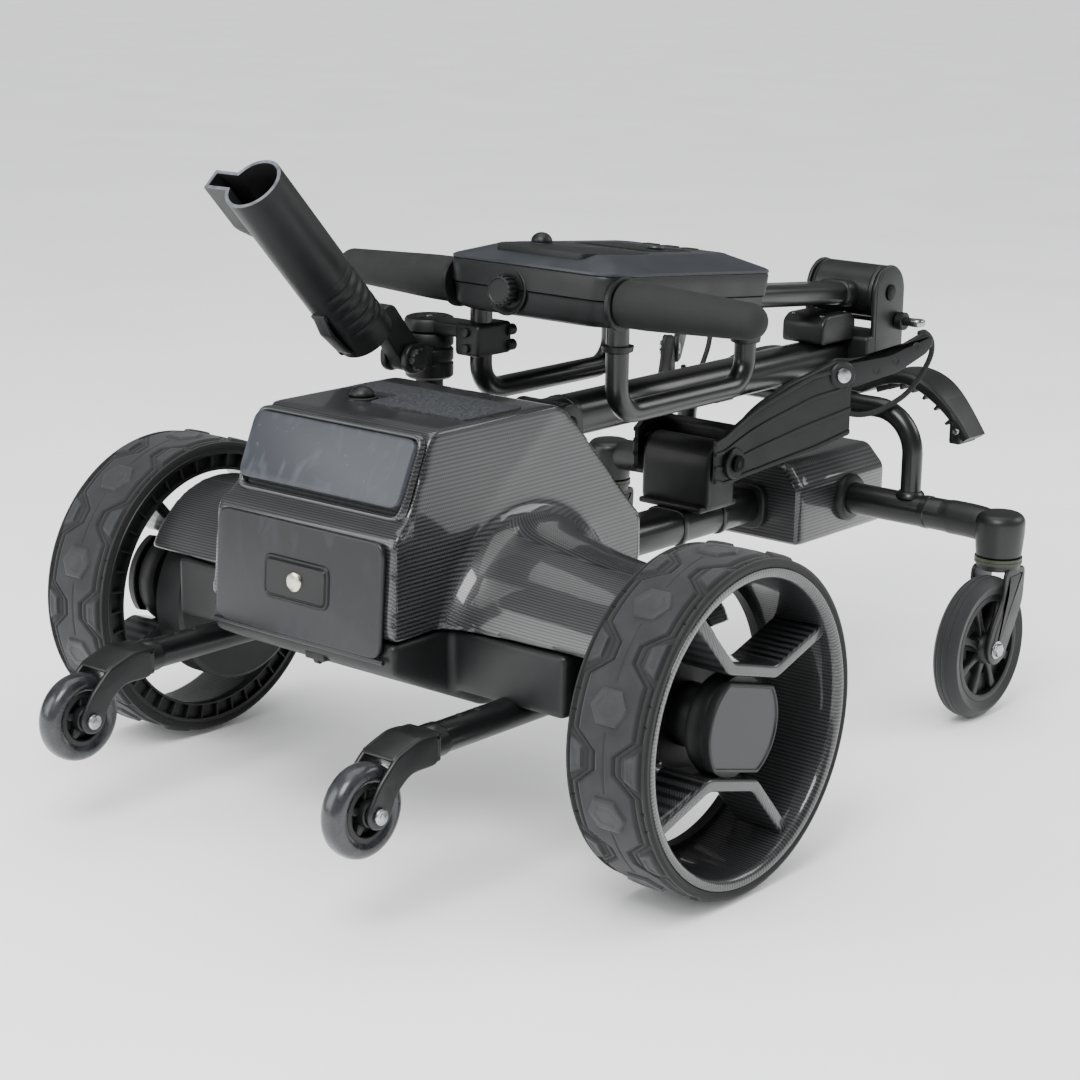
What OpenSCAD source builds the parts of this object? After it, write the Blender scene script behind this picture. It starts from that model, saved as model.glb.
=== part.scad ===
// Electric golf trolley, folded: four-wheel chassis, folding mast and handle, bag cradles, umbrella holder.
// +X is forward, +Y is left, +Z is up; Z 0 is the ground.

/* [Drive wheels] */
// Outer radius of a drive wheel
drive_r = 150; // [145:1:155]
// Width of a drive wheel
drive_w = 82; // [76:1:84]
// Distance from the middle of the trolley to a drive wheel's outer face
half_track = 367; // [365:1:370]
// Radius where the tyre sits on the rim
drive_seat_r = 138; // [136:0.5:140]

/* [Casters] */
// Radius of a front caster wheel
caster_r = 74.5; // [72:0.5:74.5]
// Width of a caster tyre
caster_w = 28; // [24:1:28]
// Forward place of the swivel axis
caster_x = 592; // [588:1:596]
// Sideways place of the swivel axis
caster_y = 257; // [250:1:262]
// Trail of the caster wheel behind its swivel axis
caster_trail = 30; // [28:1:32]

/* [Anti-tip wheels] */
// Radius of a rear anti-tip wheel
tip_r = 40; // [38:0.5:40]
// Width of an anti-tip tyre
tip_w = 24; // [20:1:24]
// How far the anti-tip axle is behind the drive axle
tip_x = 268; // [264:1:270]
// Height of the anti-tip axle
tip_z = 106; // [104:1:108]
// Sideways place of the anti-tip arms
tip_y = 175; // [172:1:178]

/* [Housing] */
// Half width of the housing at the battery door
house_half_w = 112; // [108:1:114]
// Half width of the housing at its top
house_top_half_w = 99; // [96:1:102]
// Height of the housing's top
house_top = 380; // [378:1:382]
// Height of the seam between shell and tray
seam_z = 185; // [184:0.5:186]
// Wall of the shell and the tray
house_wall = 4; // [3:0.5:5]

/* [Frame tubes] */
// Height of the spine tube's centre line
spine_z = 195; // [194:0.5:196]
// Half width of the spine tube
spine_half_w = 25; // [24:0.5:25]
// Half height of the spine tube
spine_half_h = 18; // [17:0.5:18]
// Height of the folded mast's centre line
mast_z = 335; // [334:0.5:336]
// Radius of the cross tube
cross_r = 17; // [16:0.5:17]
// Height of the cross tube's axis
cross_z = 197; // [196:0.5:198]
// Radius of the front hoop's tube
hoop_r = 11; // [10:0.5:11]

/* [Handle] */
// Pitch of the folded handle, in degrees, rising to the rear
handle_pitch = 5; // [4.5:0.5:5.5]
// Half width of the console
console_half_w = 100; // [96:1:102]
// Radius of the two guard bars under the console
bar_r = 11; // [10:0.5:11]

/* [Umbrella holder] */
// Radius of the umbrella tube's bore
umbrella_bore_r = 25; // [24:0.5:25.5]
// Outer radius of the umbrella tube
umbrella_r = 29; // [28.5:0.5:29.5]
// Length of the umbrella tube
umbrella_len = 212; // [205:1:215]
// Lean of the umbrella tube from upright, in degrees
umbrella_lean = 43; // [42:0.5:44]

/* [Hidden] */
axle_z = drive_r;
axle_r = 10;
wheel_turn = 15;
fit = 0.05;
gap = 0.3;
pin_r = 6;
bolt_r = 4;
mast_pivot = [165, mast_z];
fold_pivot = [697, 404];
fold_head_r = 30;
cradle_pivot = [397, 264];
post = [166, 150];
tilt_pivot = [128, 392];
umbrella_foot = [75, 411];
rivet = [505, 111, 348];
bracket_half_w = 46;
front_reach = fold_pivot[0] + fold_head_r;
rear_reach = tip_x + tip_r;
// The origin is under the middle of the folded trolley's box.
centre_x = (front_reach - rear_reach) / 2;
far = 1000;
battery_z = 205;

// ---- Helpers ----

module place() { translate([-centre_x, 0, 0]) children(); }

// Both sides of the trolley, the left one first.
module both_sides() { for (s = [1, -1]) side(s) children(); }

module side(s) { if (s > 0) children(); else mirror([0, 1, 0]) children(); }

// A cylinder along Y, from y0 to y1, with its axis at x, z.
module rod_y(x, z, r, y0, y1, fn = 64) {
    translate([x, y0, z]) rotate([-90, 0, 0]) cylinder(r = r, h = y1 - y0, $fn = fn);
}

// A cylinder along X.
module rod_x(y, z, r, x0, x1, fn = 48) {
    translate([x0, y, z]) rotate([0, 90, 0]) cylinder(r = r, h = x1 - x0, $fn = fn);
}

// A plate in the XZ plane, from y0 to y1, whose outline is a list of [x, z].
module plate_y(points, y0, y1) {
    translate([0, y1, 0]) rotate([90, 0, 0]) linear_extrude(y1 - y0) polygon(points);
}

module box(low, high) { translate(low) cube(high - low); }

// A rounded rectangle made of true arcs.
module round_rect(half_w, half_h, r) {
    square([2 * half_w, 2 * (half_h - r)], center = true);
    square([2 * (half_w - r), 2 * half_h], center = true);
    for (a = [-1, 1], b = [-1, 1]) translate([a * (half_w - r), b * (half_h - r)]) circle(r = r, $fn = 48);
}

// A rounded tube along X, from x0 to x1, centred at height z.
module oval_tube_x(half_w, half_h, r, x0, x1, z) {
    translate([x0, 0, z]) rotate([90, 0, 90]) linear_extrude(x1 - x0) round_rect(half_w, half_h, r);
}

// A ring in the XZ plane about [x, z]: the profile is a list of [radius, y].
module wheel_y(x, y, z, profile, fn = 96) {
    translate([x, y, z]) rotate([-90, 0, 0]) rotate_extrude($fn = fn) polygon(profile);
}

// The quarter bend of a round bar: centre of the bend, radius of the bend, in the plane of X and Z.
module bend(at, bend_r, r, start) {
    translate(at) rotate([90, 0, 0]) rotate([0, 0, start])
        rotate_extrude(angle = 90, $fn = 48) translate([bend_r, 0]) circle(r = r, $fn = 32);
}

// A cord swept along its points, as one closed polyhedron.
function unit(v) = v / norm(v);
function heading(p, i) = unit(p[min(i + 1, len(p) - 1)] - p[max(i - 1, 0)]);
function ring(p, i, r, n, side) =
    let (t = heading(p, i), u = unit(cross(side, t)), v = cross(t, u))
    [for (k = [0:n - 1]) p[i] + r * (cos(360 * k / n) * u + sin(360 * k / n) * v)];
module cord(p, r, n, side) {
    rings = len(p);
    points = [for (i = [0:rings - 1]) each ring(p, i, r, n, side)];
    walls = [for (i = [0:rings - 2], k = [0:n - 1])
        [i * n + k, i * n + (k + 1) % n, (i + 1) * n + (k + 1) % n, (i + 1) * n + k]];
    first = [[for (k = [n - 1:-1:0]) k]];
    last = [[for (k = [0:n - 1]) (rings - 1) * n + k]];
    polyhedron(points, [for (f = concat(walls, first, last)) [for (k = [len(f) - 1:-1:0]) f[k]]]);
}

// ---- Housing ----

// Outline of the housing seen from its side, pulled in by t.
function house_low(t) = [[-164 + t, seam_z], [-150 + t, 172 + t], [-40, 124 + t], [150 - t, 124 + t],
    [190 - t, 150], [190 - t, 262], [-158 + t, 296]];
function house_high(t) = [[-158 + t, 290], [-139 + t, 314], [-113 + t, 374], [-98 + t, house_top - t],
    [62 - t, house_top - t], [176 - t, 270]];

// What is cut away behind the ledge above the battery door, where the sloping panel lies.
module house_step(t) {
    plate_y([[-158 + t, 296], [-139 + t, 314], [-113 + t, 374], [-113 + t, far], [-far, far], [-far, 296]],
        -150, 150);
}

module house_body(t) {
    hull() {
        plate_y(house_low(t), -house_half_w + t, house_half_w - t);
        plate_y(house_high(t), -house_top_half_w + t, house_top_half_w - t);
    }
}

// The cone that reaches from the body out to the left drive wheel.
module house_cone(t, reach = 280) {
    hull() {
        rod_y(6, 188, 110 - t, 90, 92, 48);
        rod_y(0, 172, 95 - t, reach - 1, reach, 48);
    }
}

module housing_shell() {
    color([0.09, 0.09, 0.1]) place() difference() {
        intersection() {
            union() {
                house_body(0);
                both_sides() house_cone(0);
            }
            box([-far, -far, seam_z], [far, far, far]);
        }
        difference() {
            union() {
                house_body(house_wall);
                both_sides() house_cone(house_wall, 276);
            }
            box([130, -42, 0], [far, 42, far]);
            house_step(house_wall);
        }
        house_step(0);
        // Battery opening behind the door
        box([-200, -95, 200], [-140, 95, 284]);
        // Pocket for the mast's foot and the spine below it
        box([134, -38, 0], [far, 38, far]);
        rod_y(0, axle_z, 86, -far, -238);
        rod_y(0, axle_z, 86, 238, far);
        oval_tube_x(spine_half_w, spine_half_h, 15, 100, 300, spine_z);
        // Hole for the power button
        translate([-38, 45, 300]) cylinder(r = 8.2, h = 100, $fn = 32);
    }
}

module housing_tray() {
    color([0.06, 0.06, 0.06]) place() difference() {
        union() {
            difference() {
                union() {
                    intersection() {
                        house_body(0);
                        box([-far, -far, 0], [far, far, seam_z - gap]);
                    }
                    // Shelves under the cones
                    both_sides() box([-88, 108, 161], [88, 238, seam_z - gap]);
                }
                box([-146, -house_half_w + house_wall, 176], [180, house_half_w - house_wall, far]);
                box([-40, -house_half_w + house_wall, 130], [146, house_half_w - house_wall, 180]);
            }
            // Rails that carry the battery
            for (y = [-84, 76]) box([-130, y, 170], [-46, y + 8, battery_z]);
        }
        rod_y(0, axle_z, 22, -far, far);
        rod_y(0, axle_z, 86, -far, -238);
        rod_y(0, axle_z, 86, 238, far);
        for (s = [-1, 1]) rod_x(s * tip_y, 144, 14 + gap + 3, -200, 0);
        box([134, -38, 0], [far, 38, far]);
    }
}

module housing_panels() {
    lean = atan2(26, 60);
    color([0.13, 0.13, 0.14]) place() {
        // Sloping panel above the battery door
        translate([-139, 0, 314]) rotate([0, lean, 0]) translate([-3, -93, 2]) cube([3, 186, 60]);
        // Grip panel on the top
        translate([0, 0, house_top]) linear_extrude(2)
            polygon([[-50, -92], [28, -92], [28, 90], [-10, 90], [-10, 26], [-50, 26]]);
    }
}

module battery_pack() {
    color([0.1, 0.2, 0.35]) place() box([-145, -90, battery_z], [-34, 90, battery_z + 75]);
}

module controller_board() {
    top = battery_z + 75;
    color([0.1, 0.35, 0.15]) place() {
        box([-130, -60, top + 8], [-40, 60, top + 10]);
        box([-115, -40, top + 10], [-75, 20, top + 22]);
        for (x = [-124, -46], y = [-54, 54]) translate([x, y, top]) cylinder(r = 3, h = 9, $fn = 32);
    }
}

module hub_motors() {
    color([0.08, 0.08, 0.08]) place() both_sides() difference() {
        union() {
            rod_y(0, axle_z, 84, 244, 281, 96);
            rod_y(0, axle_z, 30, 240, 244);
        }
        rod_y(0, axle_z, axle_r + fit, 246, 290);
    }
}

module axle_beam() {
    color([0.07, 0.07, 0.07]) place() difference() {
        union() {
            rod_y(0, axle_z, 22, -240, 240);
            box([-30, -24, axle_z], [30, 24, spine_z - spine_half_h]);
        }
        for (s = [-1, 1]) rod_y(0, axle_z, 18, s > 0 ? 30 : -236, s > 0 ? 236 : -30);
    }
}

// ---- Frame ----

module spine_tube() {
    color([0.06, 0.06, 0.06]) place() difference() {
        oval_tube_x(spine_half_w, spine_half_h, 15, -30, 570, spine_z);
        oval_tube_x(spine_half_w - 2.5, spine_half_h - 2.5, 12.5, -31, 571, spine_z);
    }
}

module front_box() {
    color([0.09, 0.09, 0.1]) place() difference() {
        hull() {
            box([498, -70, 158], [665, 70, 228]);
            box([514, -44, 228], [665, 44, 245]);
        }
        hull() {
            box([502, -66, 162], [661, 66, 226]);
            box([516, -42, 226], [661, 42, 241]);
        }
        oval_tube_x(spine_half_w, spine_half_h, 15, 490, 570, spine_z);
        rod_y(caster_x, cross_z, cross_r, -80, 80);
    }
}

module cross_tube() {
    color([0.06, 0.06, 0.06]) place() difference() {
        rod_y(caster_x, cross_z, cross_r, -198, 198);
        rod_y(caster_x, cross_z, cross_r - 2.5, -199, 199);
    }
}

module caster_heads() {
    color([0.06, 0.06, 0.06]) place() both_sides() difference() {
        union() {
            rod_y(caster_x, cross_z, cross_r, 198, 250);
            translate([caster_x, caster_y, 166]) cylinder(r1 = 23, r2 = 26, h = 38, $fn = 64);
            translate([caster_x, caster_y, 204]) cylinder(r1 = 26, r2 = 22, h = 8, $fn = 64);
            rod_y(caster_x, cross_z, cross_r - 3, 188, 200);
        }
        translate([caster_x, caster_y, 160]) cylinder(r = pin_r + fit, h = 46, $fn = 48);
    }
}

module front_hoop() {
    foot = cross_z + 10;
    top = 300;
    leg_y = 148;
    turn = 45;
    color([0.06, 0.06, 0.06]) place() difference() {
        union() {
            for (s = [-1, 1]) {
                translate([caster_x, s * leg_y, foot]) cylinder(r = hoop_r, h = top - turn - foot, $fn = 48);
                side(s) translate([caster_x, leg_y - turn, top - turn]) rotate([90, 0, 90])
                    rotate_extrude(angle = 90, $fn = 64) translate([turn, 0]) circle(r = hoop_r, $fn = 48);
            }
            rod_y(caster_x, top, hoop_r, -leg_y + turn, leg_y - turn, 48);
        }
        rod_y(caster_x, cross_z, cross_r, -200, 200);
    }
}

module pivot_block() {
    color([0.07, 0.07, 0.07]) place() difference() {
        union() {
            box([374, -44, spine_z + spine_half_h], [420, 44, cradle_pivot[1]]);
            rod_y(cradle_pivot[0], cradle_pivot[1], 23, -44, 44);
        }
        rod_y(cradle_pivot[0], cradle_pivot[1], pin_r, -50, 50);
    }
}

module mast_lugs() {
    foot = spine_z + spine_half_h;
    color([0.07, 0.07, 0.07]) place() difference() {
        union() {
            for (s = [-1, 1]) {
                y0 = s > 0 ? 23 : -31;
                box([mast_pivot[0] - 22, y0, foot], [mast_pivot[0] + 22, y0 + 8, mast_pivot[1]]);
                rod_y(mast_pivot[0], mast_pivot[1], 22, y0, y0 + 8);
            }
            box([mast_pivot[0] - 22, -31, foot], [mast_pivot[0] + 30, 31, foot + 6]);
        }
        rod_y(mast_pivot[0], mast_pivot[1], pin_r, -40, 40);
    }
}

module hinge_pins() {
    color([0.75, 0.75, 0.76]) place() {
        rod_y(mast_pivot[0], mast_pivot[1], pin_r, -31, 31);
        rod_y(cradle_pivot[0], cradle_pivot[1], pin_r, -61.5, 61.5);
        both_sides() {
            rod_y(mast_pivot[0], mast_pivot[1], 9, 31, 34);
            rod_y(cradle_pivot[0], cradle_pivot[1], 9, 61.5, 64.5);
        }
    }
}

// ---- Anti-tip arms ----

module anti_tip_tubes() {
    color([0.06, 0.06, 0.06]) place() both_sides() difference() {
        rod_x(tip_y, 144, 14, -190, 0);
        rod_x(tip_y, 144, 11.5, -191, -30);
        rod_y(0, axle_z, 22, 100, 240);
    }
}

module anti_tip_forks() {
    outline = [[-190, 130], [-190, 158], [-218, 159], [-246, 150], [-268, 130], [-281, 108], [-276, 95],
        [-264, 92], [-255, 98], [-246, 118], [-230, 130]];
    color([0.06, 0.06, 0.06]) place() both_sides() {
        difference() {
            plate_y(outline, tip_y - 20, tip_y + 20);
            rod_y(-tip_x, tip_z, tip_r + 3, tip_y - 14.5, tip_y + 14.5);
            rod_y(-tip_x, tip_z, bolt_r, tip_y - 30, tip_y + 30);
        }
        rod_y(-tip_x, tip_z, bolt_r, tip_y - 20, tip_y + 20, 32);
        for (y = [tip_y - 24, tip_y + 20]) rod_y(-tip_x, tip_z, 7, y, y + 4, 32);
    }
}

module anti_tip_tyre(s) {
    w = tip_w / 2;
    color([0.25, 0.25, 0.27]) place() side(s)
        wheel_y(-tip_x, tip_y, tip_z,
            [[25, -w + 3], [33, -w], [38, -w + 5], [tip_r, 0], [38, w - 5], [33, w], [25, w - 3]]);
}

module anti_tip_hub(s) {
    color([0.05, 0.05, 0.05]) place() side(s) difference() {
        union() {
            wheel_y(-tip_x, tip_y, tip_z, [[20, -9], [25, -9], [25, 9], [20, 9]]);
            wheel_y(-tip_x, tip_y, tip_z, [[2, -13.5], [11, -13.5], [11, 13.5], [2, 13.5]]);
            wheel_y(-tip_x, tip_y, tip_z, [[2, -4], [22, -4], [22, 4], [2, 4]]);
        }
        rod_y(-tip_x, tip_z, bolt_r + fit, tip_y - 30, tip_y + 30);
    }
}

// ---- Battery door ----

door_lean = atan2(6, 111);
module door_frame() { translate([-163.9, 0, 190]) rotate([0, door_lean, 0]) children(); }

module battery_door() {
    color([0.12, 0.12, 0.13]) place() door_frame() difference() {
        union() {
            box([-5.5, -104, 2], [-0.5, 104, 104]);
            // Barrel that the door turns on
            rod_y(-3, 1, 2.4, -104, 104, 48);
            box([-8, -32, 30], [-5, 32, 76]);
            box([-0.5, -92, 14], [4, 92, 90]);
        }
        rod_x(0, 53, 9 + fit, -20, 10);
    }
}

module door_lock() {
    color([0.85, 0.85, 0.84]) place() door_frame() {
        rod_x(0, 53, 9, -10, 6);
        box([6, -5, 46], [9, 5, 74]);
    }
}

module power_button() {
    color([0.05, 0.05, 0.05]) place() translate([-38, 45, house_top - 6]) {
        cylinder(r = 8, h = 8, $fn = 48);
        translate([0, 0, 8.5]) intersection() {
            cylinder(r = 11, h = 9, $fn = 48);
            translate([0, 0, -3]) sphere(r = 12, $fn = 48);
        }
        cylinder(r = 7, h = 10, $fn = 48);
    }
}

// ---- Drive wheels ----

module drive_place(s) { place() side(s) translate([0, half_track - drive_w / 2, 0]) children(); }

module tyre(s) {
    w = drive_w / 2;
    color([0.06, 0.06, 0.06]) drive_place(s) wheel_y(0, 0, axle_z, [[drive_seat_r, -w], [drive_r - 5, -w],
        [drive_r - 1.5, -w + 5], [drive_r, -w + 12], [drive_r, w - 12], [drive_r - 1.5, w - 5],
        [drive_r - 5, w], [drive_seat_r, w]], 120);
}

// A spoke band: a trapezoid strip that joins the rim to the flat of the hub.
module spoke_band() {
    outer = [[-97, 84], [-36, 44], [36, 44], [97, 84]];
    inner = [[90, 92], [33, 54], [-33, 54], [-90, 92]];
    plate_y(concat(outer, inner), -16, 34);
}

module rim(s) {
    w = drive_w / 2;
    color([0.09, 0.09, 0.1]) drive_place(s) translate([0, 0, axle_z]) difference() {
        union() {
            wheel_y(0, 0, 0, [[128, -w], [drive_seat_r, -w], [drive_seat_r, w], [130, w], [127, w - 6],
                [124, -w + 8]], 120);
            for (a = [0, 180]) rotate([0, a + wheel_turn, 0]) spoke_band();
            rod_y(0, 0, 46, -34, 24);
            rod_y(0, 0, 60, -34, -29);
        }
        rod_y(0, 0, axle_r, -50, 14);
        for (a = [0:45:315]) rotate([0, a, 0]) rod_y(0, 53, 3, -40, -20, 24);
    }
}

module hub_cap(s) {
    color([0.1, 0.1, 0.11]) drive_place(s) translate([0, 0, axle_z]) rotate([0, wheel_turn, 0])
    intersection() {
        wheel_y(0, 0, 0, [[0, 24], [50, 24], [50, 31], [47, 34], [0, 34]], 96);
        box([-55, 20, -38], [55, 40, 38]);
    }
}

module axle(s) {
    color([0.7, 0.7, 0.72]) drive_place(s) {
        rod_y(0, axle_z, axle_r, -78, 14);
        rod_y(0, axle_z, 18, -43, -34);
    }
}

// ---- Casters ----

module caster_fork(s) {
    back = caster_x - caster_trail;
    leg = [[574, 156], [613, 156], [611, 118], [596, 92], [578, 62], [562, 57], [548, 64], [545, 80],
        [556, 104], [572, 126]];
    color([0.07, 0.07, 0.07]) place() side(s) {
        difference() {
            union() {
                for (y = [caster_y - 21, caster_y + 17]) plate_y(leg, y, y + 4);
                translate([caster_x, caster_y, 153]) cylinder(r = 23, h = 6, $fn = 64);
                translate([caster_x, caster_y, 159]) cylinder(r = 24.5, h = 6.5, $fn = 64);
                translate([caster_x, caster_y, 160]) cylinder(r = pin_r, h = 44, $fn = 48);
            }
            rod_y(back, caster_r, bolt_r, caster_y - 30, caster_y + 30);
        }
        rod_y(back, caster_r, bolt_r, caster_y - 21, caster_y + 21, 32);
        for (y = [caster_y - 26, caster_y + 21]) rod_y(back, caster_r, 7, y, y + 5, 6);
    }
}

module caster_tyre(s) {
    w = caster_w / 2;
    color([0.08, 0.08, 0.08]) place() side(s) wheel_y(caster_x - caster_trail, caster_y, caster_r,
        [[56, -w + 2], [66, -w], [72, -w + 5], [caster_r, -w + 12], [caster_r, w - 12], [72, w - 5], [66, w],
            [56, w - 2]]);
}

module caster_hub(s) {
    back = caster_x - caster_trail;
    color([0.05, 0.05, 0.05]) place() side(s) difference() {
        union() {
            wheel_y(back, caster_y, caster_r, [[50, -11], [56, -11], [56, 11], [50, 11]]);
            wheel_y(back, caster_y, caster_r, [[2, -15.5], [14, -15.5], [14, 15.5], [2, 15.5]]);
            for (a = [0:45:315]) translate([back, caster_y, caster_r]) rotate([0, a, 0])
                box([12, -8, -2.5], [52, 8, 2.5]);
        }
        rod_y(back, caster_r, bolt_r + fit, caster_y - 30, caster_y + 30);
    }
}

// ---- Mast ----

module mast_tube() {
    color([0.06, 0.06, 0.06]) place() difference() {
        union() {
            difference() {
                oval_tube_x(22, 20, 17, mast_pivot[0], 655, mast_z);
                oval_tube_x(19.5, 17.5, 14.5, mast_pivot[0] + 40, 656, mast_z);
            }
            rod_y(mast_pivot[0], mast_pivot[1], 20, -22, 22);
        }
        rod_y(mast_pivot[0], mast_pivot[1], pin_r + fit, -30, 30);
    }
}

module fold_bracket() {
    x0 = fold_pivot[0] - fold_head_r;
    x1 = fold_pivot[0] + fold_head_r;
    color([0.08, 0.08, 0.08]) place() difference() {
        union() {
            for (s = [-1, 1]) {
                y0 = s > 0 ? 40.5 : -bracket_half_w;
                box([x0, y0, 314], [x1, y0 + 5.5, fold_pivot[1]]);
                rod_y(fold_pivot[0], fold_pivot[1], fold_head_r, y0, y0 + 5.5, 96);
            }
            box([655, -bracket_half_w, 314], [x1, bracket_half_w, 360]);
            box([596, -27, mast_z + 20], [660, 27, 386]);
        }
        rod_y(fold_pivot[0], fold_pivot[1], pin_r, -60, 60);
        rod_y(715, 371, 5 + fit, -60, 60);
    }
}

module fold_pin() {
    color([0.75, 0.75, 0.76]) place() {
        rod_y(fold_pivot[0], fold_pivot[1], pin_r, -bracket_half_w, bracket_half_w);
        for (y = [-bracket_half_w - 2, bracket_half_w]) rod_y(fold_pivot[0], fold_pivot[1], 9, y, y + 2);
    }
}

module latch_lever() {
    color([0.2, 0.2, 0.2]) place() {
        rod_y(715, 371, 5, -bracket_half_w - 2, bracket_half_w + 2, 48);
        rod_y(715, 371, 10, -56, -46.5, 48);
        rod_y(715, 371, 10, 46.5, 50, 48);
        box([708, -78, 367], [724, -54, 375]);
    }
}

// Height of the upper cradle's middle line at a distance u from the trolley's middle.
function gull(u) = u < 45 ? 306
    : u < 95 ? 306 + 16 * sin(90 * (u - 45) / 50)
    : 322 - 58 * pow((u - 95) / 80, 2);

module upper_cradle() {
    reach = 176;
    step = 11;
    half_t = 7;
    line = [for (y = [-reach:step:reach]) [y, gull(abs(y))]];
    top = [for (p = line) [p[0], p[1] + half_t]];
    low = [for (i = [len(line) - 1:-1:0]) [line[i][0] * 0.97, line[i][1] - half_t]];
    color([0.07, 0.07, 0.07]) place() translate([646, 0, 0]) rotate([90, 0, 90]) linear_extrude(52)
        polygon(concat(top, low));
}

// ---- Handle ----

module handle_frame() {
    place() translate([fold_pivot[0], 0, fold_pivot[1]]) rotate([0, handle_pitch, 0]) children();
}

console_rear = -570;
console_front = -305;

module handle_tube() {
    color([0.06, 0.06, 0.06]) handle_frame() difference() {
        union() {
            difference() {
                oval_tube_x(20, 12, 10, -525, -10, -4);
                oval_tube_x(17.5, 9.5, 7.5, -526, -40, -4);
            }
            rod_y(0, 0, 29, -40, 40, 96);
        }
        rod_y(0, 0, pin_r + fit, -50, 50);
    }
}

module console_plan(inset, z0, z1, corner = 16) {
    reach = console_half_w - inset - corner;
    hull() for (x = [console_rear + inset + corner, console_front - inset - corner], y = [-reach, reach])
        translate([x, y, z0]) cylinder(r = corner, h = z1 - z0, $fn = 32);
}

module console_base() {
    color([0.06, 0.06, 0.07]) difference() {
        handle_frame() difference() {
            console_plan(0, -16, 32);
            console_plan(3, -13, 40, 13);
            oval_tube_x(20, 12, 10, -525, -10, -4);
            rod_x(20, 8, 3 + fit, console_rear - 10, console_rear + 20, 32);
            rod_x(20, 8, 20, console_rear - 5, console_rear + 1.2, 64);
        }
        place() for (s = [-1, 1]) {
            bar_leg(168, s, 352);
            bar_leg(372, s, 352);
        }
        place() rod_y(grip_at[0], grip_at[1], 10, -130, 130);
    }
}

module console_lid() {
    color([0.14, 0.14, 0.15]) handle_frame() difference() {
        hull() {
            console_plan(0, 32, 35);
            console_plan(34, 46, 50);
        }
        hull() {
            console_plan(3, 31, 34, 13);
            console_plan(36, 44, 47, 13);
        }
        translate([-495, 43, 20]) cylinder(r = 3 + fit, h = 60, $fn = 32);
        translate([-410, -30, 20]) cylinder(r = 6.2, h = 60, $fn = 32);
    }
}

module bar_leg(x, s, z0) { translate([x, s * 84, z0]) cylinder(r = bar_r, h = 88, $fn = 48); }

grip_at = [155, 460];
module guard_bars() {
    low = 352;
    turn = 28;
    color([0.06, 0.06, 0.06]) place() {
        for (s = [-1, 1]) {
            translate([168, s * 84, low + turn]) cylinder(r = bar_r, h = 66, $fn = 48);
            translate([372, s * 84, low + turn]) cylinder(r = bar_r, h = 48, $fn = 48);
            rod_x(s * 84, low, bar_r, 168 + turn, 372 - turn);
            bend([168 + turn, s * 84, low + turn], turn, bar_r, 180);
            bend([372 - turn, s * 84, low + turn], turn, bar_r, 270);
        }
        rod_y(grip_at[0], grip_at[1], 10, -238, 238);
    }
}

module grips() {
    profile = [[10, 102], [22, 102], [22, 130], [20, 180], [17.5, 225], [16.5, 244], [13, 252], [7, 256],
        [0, 257], [0, 238], [10, 238]];
    color([0.2, 0.21, 0.2]) place() both_sides()
        translate([grip_at[0], 0, grip_at[1]]) rotate([-90, 0, 0]) rotate_extrude($fn = 64) polygon(profile);
}

module speed_knob() {
    color([0.05, 0.05, 0.05]) handle_frame() {
        rod_x(20, 8, 3, console_rear - 3, console_rear + 12, 32);
        rod_x(20, 8, 15, console_rear - 12, console_rear + 0.5, 64);
    }
}

module jog_dial() {
    color([0.04, 0.04, 0.04]) handle_frame() translate([-495, 43, 44]) {
        cylinder(r = 3, h = 8, $fn = 32);
        translate([0, 0, 6.5]) intersection() {
            translate([0, 0, -1]) sphere(r = 10.5, $fn = 48);
            cylinder(r = 11, h = 11, $fn = 48);
        }
    }
}

module mode_button() {
    color([0.3, 0.3, 0.31]) handle_frame() translate([-410, -30, 42]) {
        cylinder(r = 6, h = 9, $fn = 48);
        translate([0, 0, 9]) cylinder(r1 = 9, r2 = 8, h = 2.4, $fn = 48);
    }
}

// ---- Umbrella holder ----

module umbrella_clamp() {
    color([0.06, 0.06, 0.06]) place() difference() {
        union() {
            box([146, 68, 388], [196, 100, 420]);
            box([150, 98, 404], [182, 150, 418]);
            translate([post[0], post[1], 404]) cylinder(r = 25, h = 15, $fn = 64);
        }
        translate([168, 84, 380]) cylinder(r = bar_r, h = 60, $fn = 48);
        translate([post[0], post[1], 400]) cylinder(r = pin_r + fit, h = 14, $fn = 48);
    }
}

module umbrella_post() {
    color([0.06, 0.06, 0.06]) place() difference() {
        union() {
            translate([post[0], post[1], 358]) cylinder(r = 24, h = 45.5, $fn = 64);
            translate([post[0], post[1], 346]) cylinder(r = 14, h = 12, $fn = 48);
            translate([post[0], post[1], 403]) cylinder(r = pin_r, h = 10, $fn = 48);
            // Two ears that hold the tilt bolt
            for (y = [post[1] - 18, post[1] + 10]) {
                rod_y(tilt_pivot[0], tilt_pivot[1] - 10, 15, y, y + 8, 48);
                box([tilt_pivot[0], y, tilt_pivot[1] - 25], [post[0] - 10, y + 8, tilt_pivot[1] + 5]);
            }
        }
        rod_y(tilt_pivot[0], tilt_pivot[1] - 10, 5, post[1] - 30, post[1] + 30);
    }
    color([0.2, 0.2, 0.2]) place() {
        rod_y(tilt_pivot[0], tilt_pivot[1] - 10, 5, post[1] - 18, post[1] + 18, 48);
        rod_y(tilt_pivot[0], tilt_pivot[1] - 10, 12, post[1] - 25, post[1] - 18, 6);
        rod_y(tilt_pivot[0], tilt_pivot[1] - 10, 9, post[1] + 18, post[1] + 22, 48);
    }
}

module umbrella_frame() {
    place() translate([umbrella_foot[0], post[1], umbrella_foot[1]])
        rotate([0, -umbrella_lean, 0]) children();
}

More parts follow.
